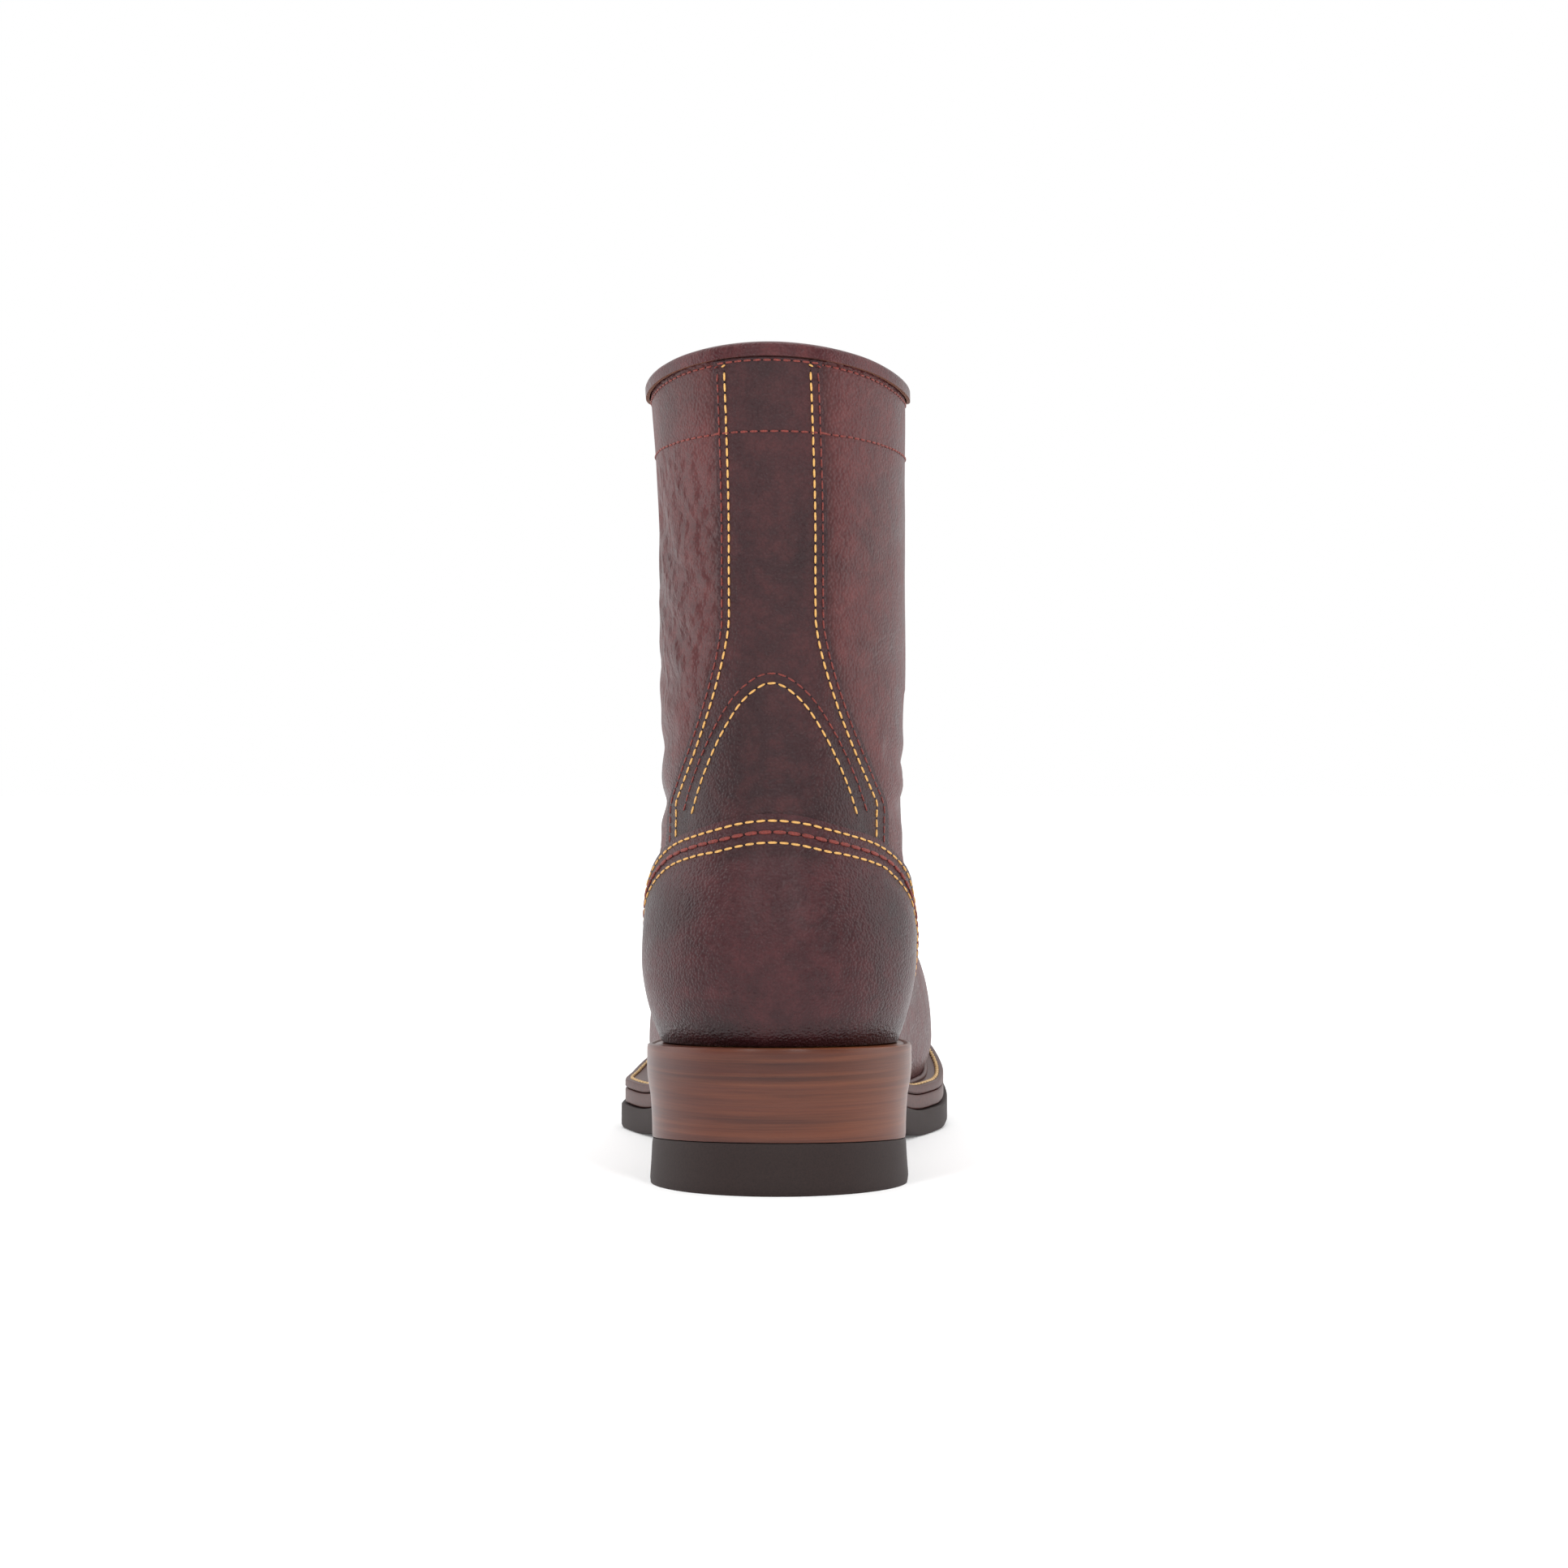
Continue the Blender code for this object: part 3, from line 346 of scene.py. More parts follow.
def round_ends(s, start, end, back, front, fullness):
    """Share of the full width at s for an outline with a round back and a round front."""
    share = 1.0
    if s < start + back:
        share *= math.sqrt(max(0.0, 1 - (1 - (s - start) / back) ** 2))
    if s > end - front:
        t = (s - (end - front)) / front
        share *= max(0.0, 1 - t**fullness) ** (1 / fullness)
    return share


def sole_half(s, side, grow=0.0):
    """Half width of the midsole at s on one side, grown outwards all round."""
    share = round_ends(s, -grow, LENGTH + grow, HEEL_ROUND + grow, TOE_ROUND + grow, TOE_FULLNESS)
    return (SOLE_SIDES[side](s / LENGTH) + grow) * share

# %% [markdown]
# ## The last
#
# The upper is pulled over a last. We describe it by rings from the feather line up to the collar.
# A point of it is found from a ring's number and a turn from the back of the heel round to the
# front, and skin() gives the point at a small distance outside.

# %% The last's rings
def ring_tables():
    """Back and front of every ring in the side view, as smooth curves over the ring's number."""
    rows = []
    seat_back = seat(0) + GAP
    for back_rise, back_in, front_rise, front_reach in FOOT_RINGS:
        front_s = front_reach * LENGTH
        rows.append((
            back_in * HEEL_CURVE,
            mix(seat_back, ANKLE_HEIGHT, back_rise),
            front_s,
            seat(front_s) + GAP + front_rise * INSTEP_RISE,
        ))
    instep = rows[-1][3]
    for back_rise, back_in, front_rise, depth in SHAFT_RINGS:
        back_s = back_in * HEEL_CURVE
        rows.append((
            back_s,
            mix(ANKLE_HEIGHT, COLLAR_HEIGHT - BINDING_CROWN, back_rise),
            back_s + depth * SHAFT_DEPTH,
            mix(instep, COLLAR_HEIGHT - BINDING_CROWN, front_rise),
        ))
    numbers = range(len(rows))
    return [spline(numbers, [row[i] for row in rows]) for i in range(4)]


BACK_S, BACK_Z, FRONT_S, FRONT_Z = ring_tables()
TOP_RING = len(FOOT_RINGS) + len(SHAFT_RINGS) - 1
ANKLE_RING = len(FOOT_RINGS) - 1
RIDGE = np.array([(FRONT_S(v), FRONT_Z(v)) for v in np.linspace(0, TOP_RING, 240)])
RIDGE_BY_HEIGHT = RIDGE.T.copy()
RIDGE_BY_PLACE = RIDGE[np.argmax(RIDGE[:, 0]):][::-1].T.copy()
LAST_SIDES = {
    1: column(LAST_PLAN, 1, BALL_WIDTH),
    -1: column(LAST_PLAN, 2, BALL_WIDTH),
}
LAST_TUCK = column(LAST_PLAN, 3)
SHAFT_HALF = column(SHAFT_SECTIONS, 1, SHAFT_WIDTH / 2)
SHAFT_LEAN = column(SHAFT_SECTIONS, 2, SHAFT_WIDTH)


def ridge_at_height(z):
    """How far forward the front of the boot reaches at a height."""
    return float(np.interp(z, RIDGE_BY_HEIGHT[1], RIDGE_BY_HEIGHT[0]))


def ridge_over(s):
    """Height of the top of the foot over a place along it."""
    return float(np.interp(s, RIDGE_BY_PLACE[0], RIDGE_BY_PLACE[1]))


def shaft_share(z):
    """0 in the foot and 1 in the shaft."""
    return smooth(z, 0.60 * ANKLE_HEIGHT, 1.02 * ANKLE_HEIGHT)


def front_closeness(s, z):
    """0 in the middle of the boot and 1 on the line of its toe, vamp, instep and shin."""
    widest = seat(s) + 0.12 * INSTEP_RISE
    over = max(0.0, z - widest) / max(1 * MM, ridge_over(s) - widest)
    over *= smooth(s, 0.2 * SHAFT_DEPTH, 0.9 * SHAFT_DEPTH)
    reach = mix(TOE_ROUND, 0.49 * SHAFT_DEPTH, smooth(z, 0.6 * ANKLE_HEIGHT, 1.3 * ANKLE_HEIGHT))
    ahead = max(0.0, s - (ridge_at_height(z) - reach)) / reach
    vamp = 1 - smooth(z, ANKLE_HEIGHT, 1.3 * ANKLE_HEIGHT)
    vamp *= 1 - smooth(s, LENGTH - TOE_ROUND, LENGTH - 0.15 * TOE_ROUND)
    return (vamp * min(over, 1.2) ** 8 + (1 - vamp) * min(ahead, 1.2) ** 8) ** (1 / 8)


def back_closeness(s, z, back):
    """0 away from the heel and 1 on the line of its back."""
    reach = mix(HEEL_ROUND, 0.5 * SHAFT_DEPTH, shaft_share(z))
    return max(0.0, 1 - (s - back) / reach)


def along_ring(theta):
    """Share of the way from the back to the front, with more turns to both round ends."""
    turn = 1 - abs(1 - abs(theta) / math.pi)
    near = min(turn, 1 - turn)
    if near < END_SHARE:
        share = near * near / (2 * END_SHARE * (1 - END_SHARE))
    else:
        share = (near - END_SHARE / 2) / (1 - END_SHARE)
    return share if turn < 0.5 else 1 - share


def place(v, theta):
    """Point of the last's surface: ring v, turned by theta from the back round to the front."""
    share = along_ring(theta)
    back_s, front_s = BACK_S(v), FRONT_S(v)
    s = mix(back_s, front_s, share)
    flat = smooth(v, 0, ANKLE_RING)
    level = mix(BACK_Z(v), FRONT_Z(v), share)
    over = mix(BACK_Z(v) - seat(back_s), FRONT_Z(v) - seat(front_s), share)
    dip = COLLAR_DIP * math.sin(theta) ** 2 * smooth(v, ANKLE_RING, TOP_RING)
    z = mix(seat(s) + over, level, flat) - dip
    side = 1 if math.sin(theta) >= 0 else -1
    foot = LAST_SIDES[side](s / LENGTH)
    full = mix(foot, SHAFT_HALF(z / COLLAR_HEIGHT), shaft_share(z))
    swell = mix(26 * MM, 13 * MM, smooth(s, 0.3 * LENGTH, 0.6 * LENGTH))
    draw = 1 - math.sin(math.pi / 2 * min(1.0, max(0.0, z - seat(s)) / swell))
    full *= 1 - LAST_TUCK(s / LENGTH) * draw
    near = front_closeness(s, z) / front_closeness(front_s, FRONT_Z(v))
    roundness = 1 - back_closeness(s, z, back_s) ** 2 - min(1.0, near) ** 2.3
    half = full * math.sqrt(max(0.0, roundness))
    lean = SHAFT_LEAN(z / COLLAR_HEIGHT) * smooth(z, seat(0), ANKLE_HEIGHT)
    return Vector((side * half + lean, s - ORIGIN_S, z))

# %% [markdown]
# ## A table of the last
#
# Finding a point of the last takes many small curves, and some steps below look for a place
# thousands of times. So the last is measured once on a fine net, and those look-ups read the net.
# The finished pieces still use place() itself for their corners.

# %% Measure the last once
NET_V = np.linspace(0, TOP_RING, 8 * TOP_RING + 1)
NET_T = np.linspace(-math.pi, math.pi, 193)
NET = np.array([[place(v, t) for t in NET_T] for v in NET_V])
along_net = np.gradient(NET, axis=0)
around_net = (np.roll(NET, -1, 1) - np.roll(NET, 1, 1))
around_net[:, 0] = around_net[:, -1] = NET[:, 1] - NET[:, -2]
WAYS = np.cross(around_net, along_net)
for row, v in enumerate(NET_V):
    WAYS[row, :, 2] *= min(smooth(v, -0.1, 1.4), smooth(TOP_RING - v, -0.05, 0.5))
WAYS /= np.linalg.norm(WAYS, axis=2, keepdims=True)


def read_net(net, v, theta):
    """A value of the net between its nearest corners."""
    turn = (theta + math.pi) % (2 * math.pi)
    a, b = v / TOP_RING * (len(NET_V) - 1), turn / (2 * math.pi) * (len(NET_T) - 1)
    i, j = min(int(a), len(NET_V) - 2), min(int(b), len(NET_T) - 2)
    a, b = a - i, b - j
    low = net[i, j] * (1 - b) + net[i, j + 1] * b
    high = net[i + 1, j] * (1 - b) + net[i + 1, j + 1] * b
    return low * (1 - a) + high * a


def spot(v, theta):
    """A point of the last read from the net, quick and close enough to look for a place."""
    return Vector(read_net(NET, min(max(v, 0.0), TOP_RING), theta))


def way_out(v, theta):
    """The way straight out of the last."""
    return Vector(read_net(WAYS, min(max(v, 0.0), TOP_RING), theta)).normalized()


def skin(v, theta, offset=0.0, lift=0.0):
    """Point at a distance outside the last's surface, and raised by lift."""
    return place(v, theta) + way_out(v, theta) * offset + Vector((0, 0, lift))


# %% Places on the last
def search(low, high, is_low, tries=22):
    """Halve a span until little is left of it round the place where is_low turns false."""
    for _ in range(tries):
        middle = (low + high) / 2
        if is_low(middle):
            low = middle
        else:
            high = middle
    return low, high


def edge_angle(v, distance):
    """Turn at which a point of ring v lies at a distance to the side of the front line."""
    front = spot(v, math.pi).x
    return search(math.pi / 2, math.pi, lambda turn: spot(v, turn).x - front > distance)[1]


def throat_half(v):
    """Half of the throat's opening at ring v."""
    return THROAT_GAP / 2 * mix(0.55, 1.25, smooth(v, THROAT_ROW, TOP_RING))


def front_ring(height):
    """Number of the ring whose front is at a height."""
    return sum(search(0.0, float(TOP_RING), lambda v: spot(v, math.pi).z < height)) / 2


COUNTER_LINE = spline(
    [row[0] * HEEL_LENGTH for row in COUNTER_EDGE],
    [mix(seat(0), ANKLE_HEIGHT, row[1]) for row in COUNTER_EDGE],
)


def backstay_half(z):
    """Half width of the backstay at a height: a strip that flares to the counter."""
    flare = max(0.0, BACKSTAY_FLARE_HEIGHT - z) / (BACKSTAY_FLARE_HEIGHT - ANKLE_HEIGHT)
    return mix(BACKSTAY_WIDTH / 2, BACKSTAY_FOOT_WIDTH / 2, min(flare, 1.0) ** 1.4)


def eyelet_places():
    """Ring and distance from the front line of every pair of eyelets, from the vamp up."""
    low, high = THROAT_ROW + 0.55, front_ring(COLLAR_HEIGHT - 2 * BINDING_HEIGHT) - 0.2
    rows = [mix(low, high, k / (EYELET_PAIRS - 1)) for k in range(EYELET_PAIRS)]
    return [(v, throat_half(v) + EYELET_INSET) for v in rows]


FACING_FACE = SEWN_GAP + FACING_THICKNESS

# %% [markdown]
# ## Camera, light and floor
#
# The boot was photographed level, from straight behind, with a long lens. Large softboxes at both
# sides and overhead draw the bright edges, and two narrow ones stand behind the camera. The
# backdrop is bright ahead of the camera and dim behind it, so that the leather mirrors a dark room.
# The floor glows more with its distance, until it meets the white of the backdrop.
# The camera comes first, because each piece is judged through it.

# %% Camera
CAMERA_TURN = math.radians(3.0)
CAMERA_AWAY = 0.985
CAMERA_SIDE = 3.9 * MM
CAMERA_HEIGHT = 120 * MM
CAMERA_LENS, CAMERA_SENSOR = 77.9, 36
ahead = Vector((-math.sin(CAMERA_TURN), math.cos(CAMERA_TURN), 0))
beside = Vector((math.cos(CAMERA_TURN), math.sin(CAMERA_TURN), 0))
heel_back = Vector((0, -ORIGIN_S, CAMERA_HEIGHT))
camera = bpy.data.objects.new("camera", bpy.data.cameras.new("camera"))
bpy.context.collection.objects.link(camera)
camera.location = heel_back + beside * CAMERA_SIDE - ahead * CAMERA_AWAY
camera.rotation_euler = (math.pi / 2, 0, CAMERA_TURN)
camera.data.sensor_width = CAMERA_SENSOR
camera.data.lens = CAMERA_LENS
bpy.context.scene.camera = camera
bpy.context.scene.view_settings.view_transform = "Standard"
print("camera", [round(c, 3) for c in camera.location])


# %% Looks that differ from the CAD
# The rolled binding is lower here than the plain CAD one, as it is in the photograph.
ROLL_HEIGHT = 2.9 * MM


# %% Colours
def colour(hex_value):
    """A hex sRGB colour as linear red, green and blue, with alpha 1."""
    parts = [int(hex_value[i:i + 2], 16) / 255 for i in (1, 3, 5)]
    return (*((c / 12.92) if c <= 0.04045 else ((c + 0.055) / 1.055) ** 2.4 for c in parts), 1.0)


# %% Softboxes
SOFTBOXES = (
    # name, place, aim, width, height, watts
    ("softbox_left", (-1.05, 0.10, 0.45), (0, 0, 0.12), 0.9, 1.4, 5),
    ("softbox_right", (1.05, 0.10, 0.45), (0, 0, 0.12), 0.9, 1.4, 5),
    ("softbox_behind_left", (-0.50, -1.15, 0.80), (0, 0, 0.14), 0.22, 0.8, 5.5),
    ("softbox_behind_right", (0.50, -1.15, 0.80), (0, 0, 0.14), 0.22, 0.8, 6.5),
    ("softbox_top", (0, 0.1, 1.5), (0, 0.05, 0), 1.6, 1.6, 14),
)
for name, place_at, look_at, width, height, watts in SOFTBOXES:
    light = bpy.data.lights.new(name, "AREA")
    light.shape = "RECTANGLE"
    light.size, light.size_y = width, height
    light.energy = watts
    item = bpy.data.objects.new(name, light)
    bpy.context.collection.objects.link(item)
    item.location = place_at
    item.rotation_euler = (Vector(look_at) - Vector(place_at)).to_track_quat("-Z", "Y").to_euler()

# %% Floor and backdrop
GLOW_NEAR, GLOW_FAR = 0.10, 0.66
GLOW_START, GLOW_END = 0.3, 1.7
DIM_ROOM, LIT_BACKDROP = 0.24, 1.0
ROOM_BEHIND, ROOM_AHEAD = -0.6, 0.7
FLOOR_SIZE = 60
bpy.ops.object.select_all(action="DESELECT")
bpy.ops.mesh.primitive_plane_add(size=FLOOR_SIZE, location=(0, 0, 0))
floor = bpy.context.object
floor.name = "floor"
paper = bpy.data.materials.new("white_backdrop_paper")
paper.use_nodes = True
paper_tree = paper.node_tree
paper_shader = paper_tree.nodes["Principled BSDF"]
paper_shader.inputs["Base Color"].default_value = colour("#f6f6f6")
paper_shader.inputs["Roughness"].default_value = 0.9
paper_shader.inputs["Emission Color"].default_value = colour("#ffffff")
paper_at = paper_tree.nodes.new("ShaderNodeTexCoord").outputs["Object"]
paper_far = paper_tree.nodes.new("ShaderNodeVectorMath")
paper_far.operation = "LENGTH"
glow = paper_tree.nodes.new("ShaderNodeMapRange")
for socket, value in (("From Min", GLOW_START), ("From Max", GLOW_END),
                      ("To Min", GLOW_NEAR), ("To Max", GLOW_FAR)):
    glow.inputs[socket].default_value = value
paper_tree.links.new(paper_at, paper_far.inputs[0])
paper_tree.links.new(paper_far.outputs["Value"], glow.inputs["Value"])
paper_tree.links.new(glow.outputs[0], paper_shader.inputs["Emission Strength"])
floor.data.materials.append(paper)
floor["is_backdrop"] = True
world = bpy.data.worlds.new("studio")
bpy.context.scene.world = world
world.use_nodes = True
backdrop = world.node_tree.nodes["Background"]
backdrop.inputs["Color"].default_value = (1, 1, 1, 1)
facing_of = world.node_tree.nodes.new("ShaderNodeTexCoord").outputs["Generated"]
parts_of = world.node_tree.nodes.new("ShaderNodeSeparateXYZ")
level = world.node_tree.nodes.new("ShaderNodeMapRange")
level.interpolation_type = "SMOOTHSTEP"
for socket, value in (("From Min", ROOM_BEHIND), ("From Max", ROOM_AHEAD),
                      ("To Min", DIM_ROOM), ("To Max", LIT_BACKDROP)):
    level.inputs[socket].default_value = value
world.node_tree.links.new(facing_of, parts_of.inputs[0])
world.node_tree.links.new(parts_of.outputs["Y"], level.inputs["Value"])
world.node_tree.links.new(level.outputs[0], backdrop.inputs["Strength"])

# %% [markdown]
# ## Leather, thread and rubber
#
# The upper is oil-tanned cowhide: a burgundy brown with a pebbled grain, fine wrinkles, a waxy
# gloss that varies over the skin, random darker blotches where the maker burnished it, and painted
# shade beside seams and in recesses. A material is a small tree of nodes, so one function adds a
# node with its settings and links.

# %% One function for nodes
def add_node(tree, kind, settings):
    """Add a node; each setting is a property, a socket's value or a socket to link from."""
    node = tree.nodes.new(kind)
    for key, value in settings.items():
        if isinstance(key, str) and hasattr(node, key) and key not in node.inputs:
            setattr(node, key, value)
        elif isinstance(value, bpy.types.NodeSocket):
            tree.links.new(value, node.inputs[key])
        else:
            node.inputs[key].default_value = value
    return node


def blend_colours(tree, share, one, two, way="MIX"):
    """The colour between one and two at a share."""
    return add_node(tree, "ShaderNodeMix", {
        "data_type": "RGBA", "blend_type": way, 0: share, 6: one, 7: two}).outputs[2]


def sum_of(tree, one, two, way="ADD"):
    """Two numbers put together."""
    return add_node(tree, "ShaderNodeMath", {"operation": way, 0: one, 1: two}).outputs[0]


def spread(tree, value, low, high, to_low=0.0, to_high=1.0):
    """A number's range moved onto another range."""
    return add_node(tree, "ShaderNodeMapRange", {
        "Value": value, "From Min": low, "From Max": high,
        "To Min": to_low, "To Max": to_high}).outputs[0]


# %% Oil-tanned leather
CLOUD_SIZE, MOTTLE_SIZE = 45 * MM, 6 * MM
WRINKLE_SIZE, FOLD_SIZE = 1.6 * MM, 4.2 * MM


def oiled_leather(name, dark, middle, light, grain=0.9, relief=0.10, coarse=0.0, gloss=0.36):
    """Cowhide: grain in mm between its pebbles, relief in mm, and coarse wrinkles by attribute."""
    skin_of_cow = bpy.data.materials.new(name)
    skin_of_cow.use_nodes = True
    tree = skin_of_cow.node_tree
    shader = tree.nodes["Principled BSDF"]
    at = tree.nodes.new("ShaderNodeTexCoord").outputs["Object"]
    clouds = add_node(tree, "ShaderNodeTexNoise", {
        "Vector": at, "Scale": 1 / CLOUD_SIZE, "Detail": 4.0, "Roughness": 0.6}).outputs[0]
    mottle = add_node(tree, "ShaderNodeTexNoise", {
        "Vector": at, "Scale": 1 / MOTTLE_SIZE, "Detail": 5.0, "Roughness": 0.65}).outputs[0]
    tone = blend_colours(tree, spread(tree, clouds, 0.35, 0.65), colour(dark), colour(middle))
    tone = blend_colours(tree, spread(tree, mottle, 0.42, 0.72, 0.0, 0.55), tone, colour(light))
    pebbles = add_node(tree, "ShaderNodeTexVoronoi", {
        "feature": "SMOOTH_F1", "Vector": at, "Scale": 1 / (grain * MM), "Smoothness": 0.6,
        "Randomness": 1.0}).outputs[0]
    shade = add_node(tree, "ShaderNodeAttribute", {"attribute_name": "shade"}).outputs["Fac"]
    tone = blend_colours(tree, spread(tree, pebbles, 0.35, 0.8, 0.0, 0.45), tone, colour(dark))
    # The shade attribute darkens the tone: painted shade beside seams and in recesses, and random
    # darker blotches.
    tone = blend_colours(tree, shade, tone, colour("#1c0e10"))
    tree.links.new(tone, shader.inputs["Base Color"])
    wrinkles = add_node(tree, "ShaderNodeTexNoise", {
        "Vector": at, "Scale": 1 / WRINKLE_SIZE, "Detail": 3.0, "Distortion": 1.2}).outputs[0]
    height = sum_of(tree, pebbles, sum_of(tree, wrinkles, -0.5, "MULTIPLY"))
    folds = add_node(tree, "ShaderNodeTexVoronoi", {
        "feature": "SMOOTH_F1", "Vector": add_node(tree, "ShaderNodeVectorMath", {
            "operation": "ADD", 0: at, 1: add_node(tree, "ShaderNodeVectorMath", {
                "operation": "SCALE", 0: add_node(tree, "ShaderNodeTexNoise", {
                    "Vector": at, "Scale": 90.0, "Detail": 2.0}).outputs[1],
                "Scale": 0.006}).outputs[0]}).outputs[0],
        "Scale": 1 / FOLD_SIZE, "Smoothness": 0.8}).outputs[0]
    mask = add_node(tree, "ShaderNodeAttribute", {"attribute_name": "coarse"}).outputs["Fac"]
    amount = sum_of(tree, mask, coarse, "MULTIPLY")
    height = sum_of(tree, height, sum_of(tree, folds, amount, "MULTIPLY"))
    bump = add_node(tree, "ShaderNodeBump", {
        "Height": height, "Distance": relief * MM, "Strength": 1.0, "invert": True})
    tree.links.new(bump.outputs[0], shader.inputs["Normal"])
    polish = spread(tree, sum_of(tree, clouds, mottle), 0.7, 1.3, gloss - 0.06, gloss + 0.12)
    tree.links.new(polish, shader.inputs["Roughness"])
    shader.inputs["IOR"].default_value = 1.48
    shader.inputs["Specular IOR Level"].default_value = 0.28
    shader.inputs["Coat Weight"].default_value = 0.05
    shader.inputs["Coat Roughness"].default_value = 0.28
    return skin_of_cow


SHAFT_LEATHER = oiled_leather(
    "oil_tanned_cowhide_shaft", "#3d1618", "#562526", "#6c3a39", 1.0, 0.36, 6.0, 0.40)
COUNTER_LEATHER = oiled_leather(
    "oil_tanned_cowhide_counter", "#301317", "#431d21", "#58292c", 0.8, 0.34, 0.0, 0.33)
BACKSTAY_LEATHER = oiled_leather(
    "oil_tanned_cowhide_backstay", "#291115", "#3a1a1d", "#522829", 0.8, 0.34, 3.0, 0.38)
BINDING_LEATHER = oiled_leather(
    "rolled_binding_leather", "#361216", "#4c1e22", "#6a3434", 0.7, 0.18, 0.0, 0.32)
TONGUE_LEATHER = oiled_leather(
    "soft_tongue_leather", "#43202a", "#57292f", "#6b3a3d", 1.0, 0.12, 0.0, 0.46)


# %% Plain finishes: thread, cut edges, rubber, brass, lace
def plain_finish(name, base, roughness, speck="", speck_mm=0.5, bump_mm=0.0, metallic=0.0):
    """A finish with one colour broken by specks of a second, and a low bump."""
    finish_of = bpy.data.materials.new(name)
    finish_of.use_nodes = True
    tree = finish_of.node_tree
    shader = tree.nodes["Principled BSDF"]
    at = tree.nodes.new("ShaderNodeTexCoord").outputs["Object"]
    specks = add_node(tree, "ShaderNodeTexNoise", {
        "Vector": at, "Scale": 1 / (speck_mm * MM), "Detail": 4.0, "Roughness": 0.7}).outputs[0]
    tone = blend_colours(
        tree, spread(tree, specks, 0.4, 0.68), colour(base), colour(speck or base))
    tree.links.new(tone, shader.inputs["Base Color"])
    if bump_mm:
        bump = add_node(tree, "ShaderNodeBump", {
            "Height": specks, "Distance": bump_mm * MM, "Strength": 1.0})
        tree.links.new(bump.outputs[0], shader.inputs["Normal"])
    shader.inputs["Roughness"].default_value = roughness
    shader.inputs["Metallic"].default_value = metallic
    shader.inputs["Specular IOR Level"].default_value = 0.5 if metallic else 0.3
    return finish_of


YELLOW_THREAD = plain_finish("waxed_yellow_thread", "#e0b06a", 0.55, "#c08a44", 0.4, 0.06)
RED_THREAD = plain_finish("waxed_dark_red_thread", "#8a3c34", 0.5, "#42201f", 0.4, 0.06)
CREAM_THREAD = plain_finish("cream_welt_thread", "#d9b98a", 0.6, "#b5905c", 0.5, 0.08)
CUT_EDGE = plain_finish("raw_leather_edge", "#7c4f38", 0.7, "#55302a", 0.4, 0.05)
NEEDLE_HOLE_SHADOW = plain_finish("needle_hole_shadow", "#120809", 0.9)
RUBBER_BROWN = plain_finish("moulded_brown_rubber", "#2b1e1c", 0.62, "#231817", 0.6, 0.03)
WELT_LEATHER = plain_finish("waxed_welt_leather", "#40201c", 0.42, "#542c26", 1.2, 0.05)
LINING = plain_finish("natural_insole_leather", "#a98a63", 0.7, "#94754f", 0.8, 0.04)
AGED_BRASS = plain_finish("aged_brass", "#8a6b3c", 0.38, "#5f4727", 0.6, 0.02, 1.0)
LACE_CORD = plain_finish("waxed_braided_lace", "#3a2420", 0.6, "#241512", 0.7, 0.15)


# %% Stacked heel leather
def stacked_leather():
    """Cut edges of leather lifts, pressed, stained and waxed: level streaks in several browns."""
    stack = bpy.data.materials.new("burnished_stacked_leather")
    stack.use_nodes = True
    tree = stack.node_tree
    shader = tree.nodes["Principled BSDF"]
    at = tree.nodes.new("ShaderNodeTexCoord").outputs["Object"]
    level = add_node(tree, "ShaderNodeMapping", {"Vector": at, "Scale": (14, 14, 900)}).outputs[0]
    fine = add_node(tree, "ShaderNodeTexNoise", {
        "Vector": level, "Scale": 1.0, "Detail": 5.0, "Roughness": 0.65}).outputs[0]
    level = add_node(tree, "ShaderNodeMapping", {"Vector": at, "Scale": (9, 9, 190)}).outputs[0]
    wide = add_node(tree, "ShaderNodeTexNoise", {
        "Vector": level, "Scale": 1.0, "Detail": 3.0}).outputs[0]
    tone = blend_colours(tree, spread(tree, wide, 0.38, 0.62), colour("#3a1e19"), colour("#5a2f22"))
    tone = blend_colours(tree, spread(tree, fine, 0.45, 0.72, 0.0, 0.7), tone, colour("#74422c"))
    tone = blend_colours(tree, spread(tree, fine, 0.45, 0.25, 0.0, 0.6), tone, colour("#2a1314"))
    shade = add_node(tree, "ShaderNodeAttribute", {"attribute_name": "shade"}).outputs["Fac"]
    warm = add_node(tree, "ShaderNodeAttribute", {"attribute_name": "warm"}).outputs["Fac"]
    tone = blend_colours(tree, warm, tone, colour("#8a4c2a"))
    tone = blend_colours(tree, shade, tone, colour("#4a2724"))
    tree.links.new(tone, shader.inputs["Base Color"])
    bump = add_node(tree, "ShaderNodeBump", {
        "Height": fine, "Distance": 0.06 * MM, "Strength": 1.0})
    tree.links.new(bump.outputs[0], shader.inputs["Normal"])
    shader.inputs["Roughness"].default_value = 0.36
    shader.inputs["Specular IOR Level"].default_value = 0.3
    shader.inputs["Coat Weight"].default_value = 0.1
    shader.inputs["Coat Roughness"].default_value = 0.22
    return stack


STACK_LEATHER = stacked_leather()
print("materials:", len(bpy.data.materials))

# %% [markdown]
# ## A sheet laid on the last
#
# A leather panel is a flat sheet pulled over the last. We add a grid as a primitive, move each of
# its corners onto the last, and give it a wall with a Solidify modifier. Low troughs and ridges
# are pressed in along the surface's own normal, so the panel keeps its place on the last.

# %% Sheets
def clear_selection():
    """Deselect everything, because an operator acts on all that is selected."""
    if bpy.context.object and bpy.context.object.mode != "OBJECT":
        bpy.ops.object.mode_set(mode="OBJECT")
    bpy.ops.object.select_all(action="DESELECT")


def skin_frame(v, theta):
    """A point of the last's surface and the way out of it."""
    return place(v, theta), way_out(v, theta)


def flip_faces():
    """Turn all faces of the active object round."""
    bpy.ops.object.mode_set(mode="EDIT")
    bpy.ops.mesh.select_all(action="SELECT")
    bpy.ops.mesh.flip_normals()
    bpy.ops.object.mode_set(mode="OBJECT")


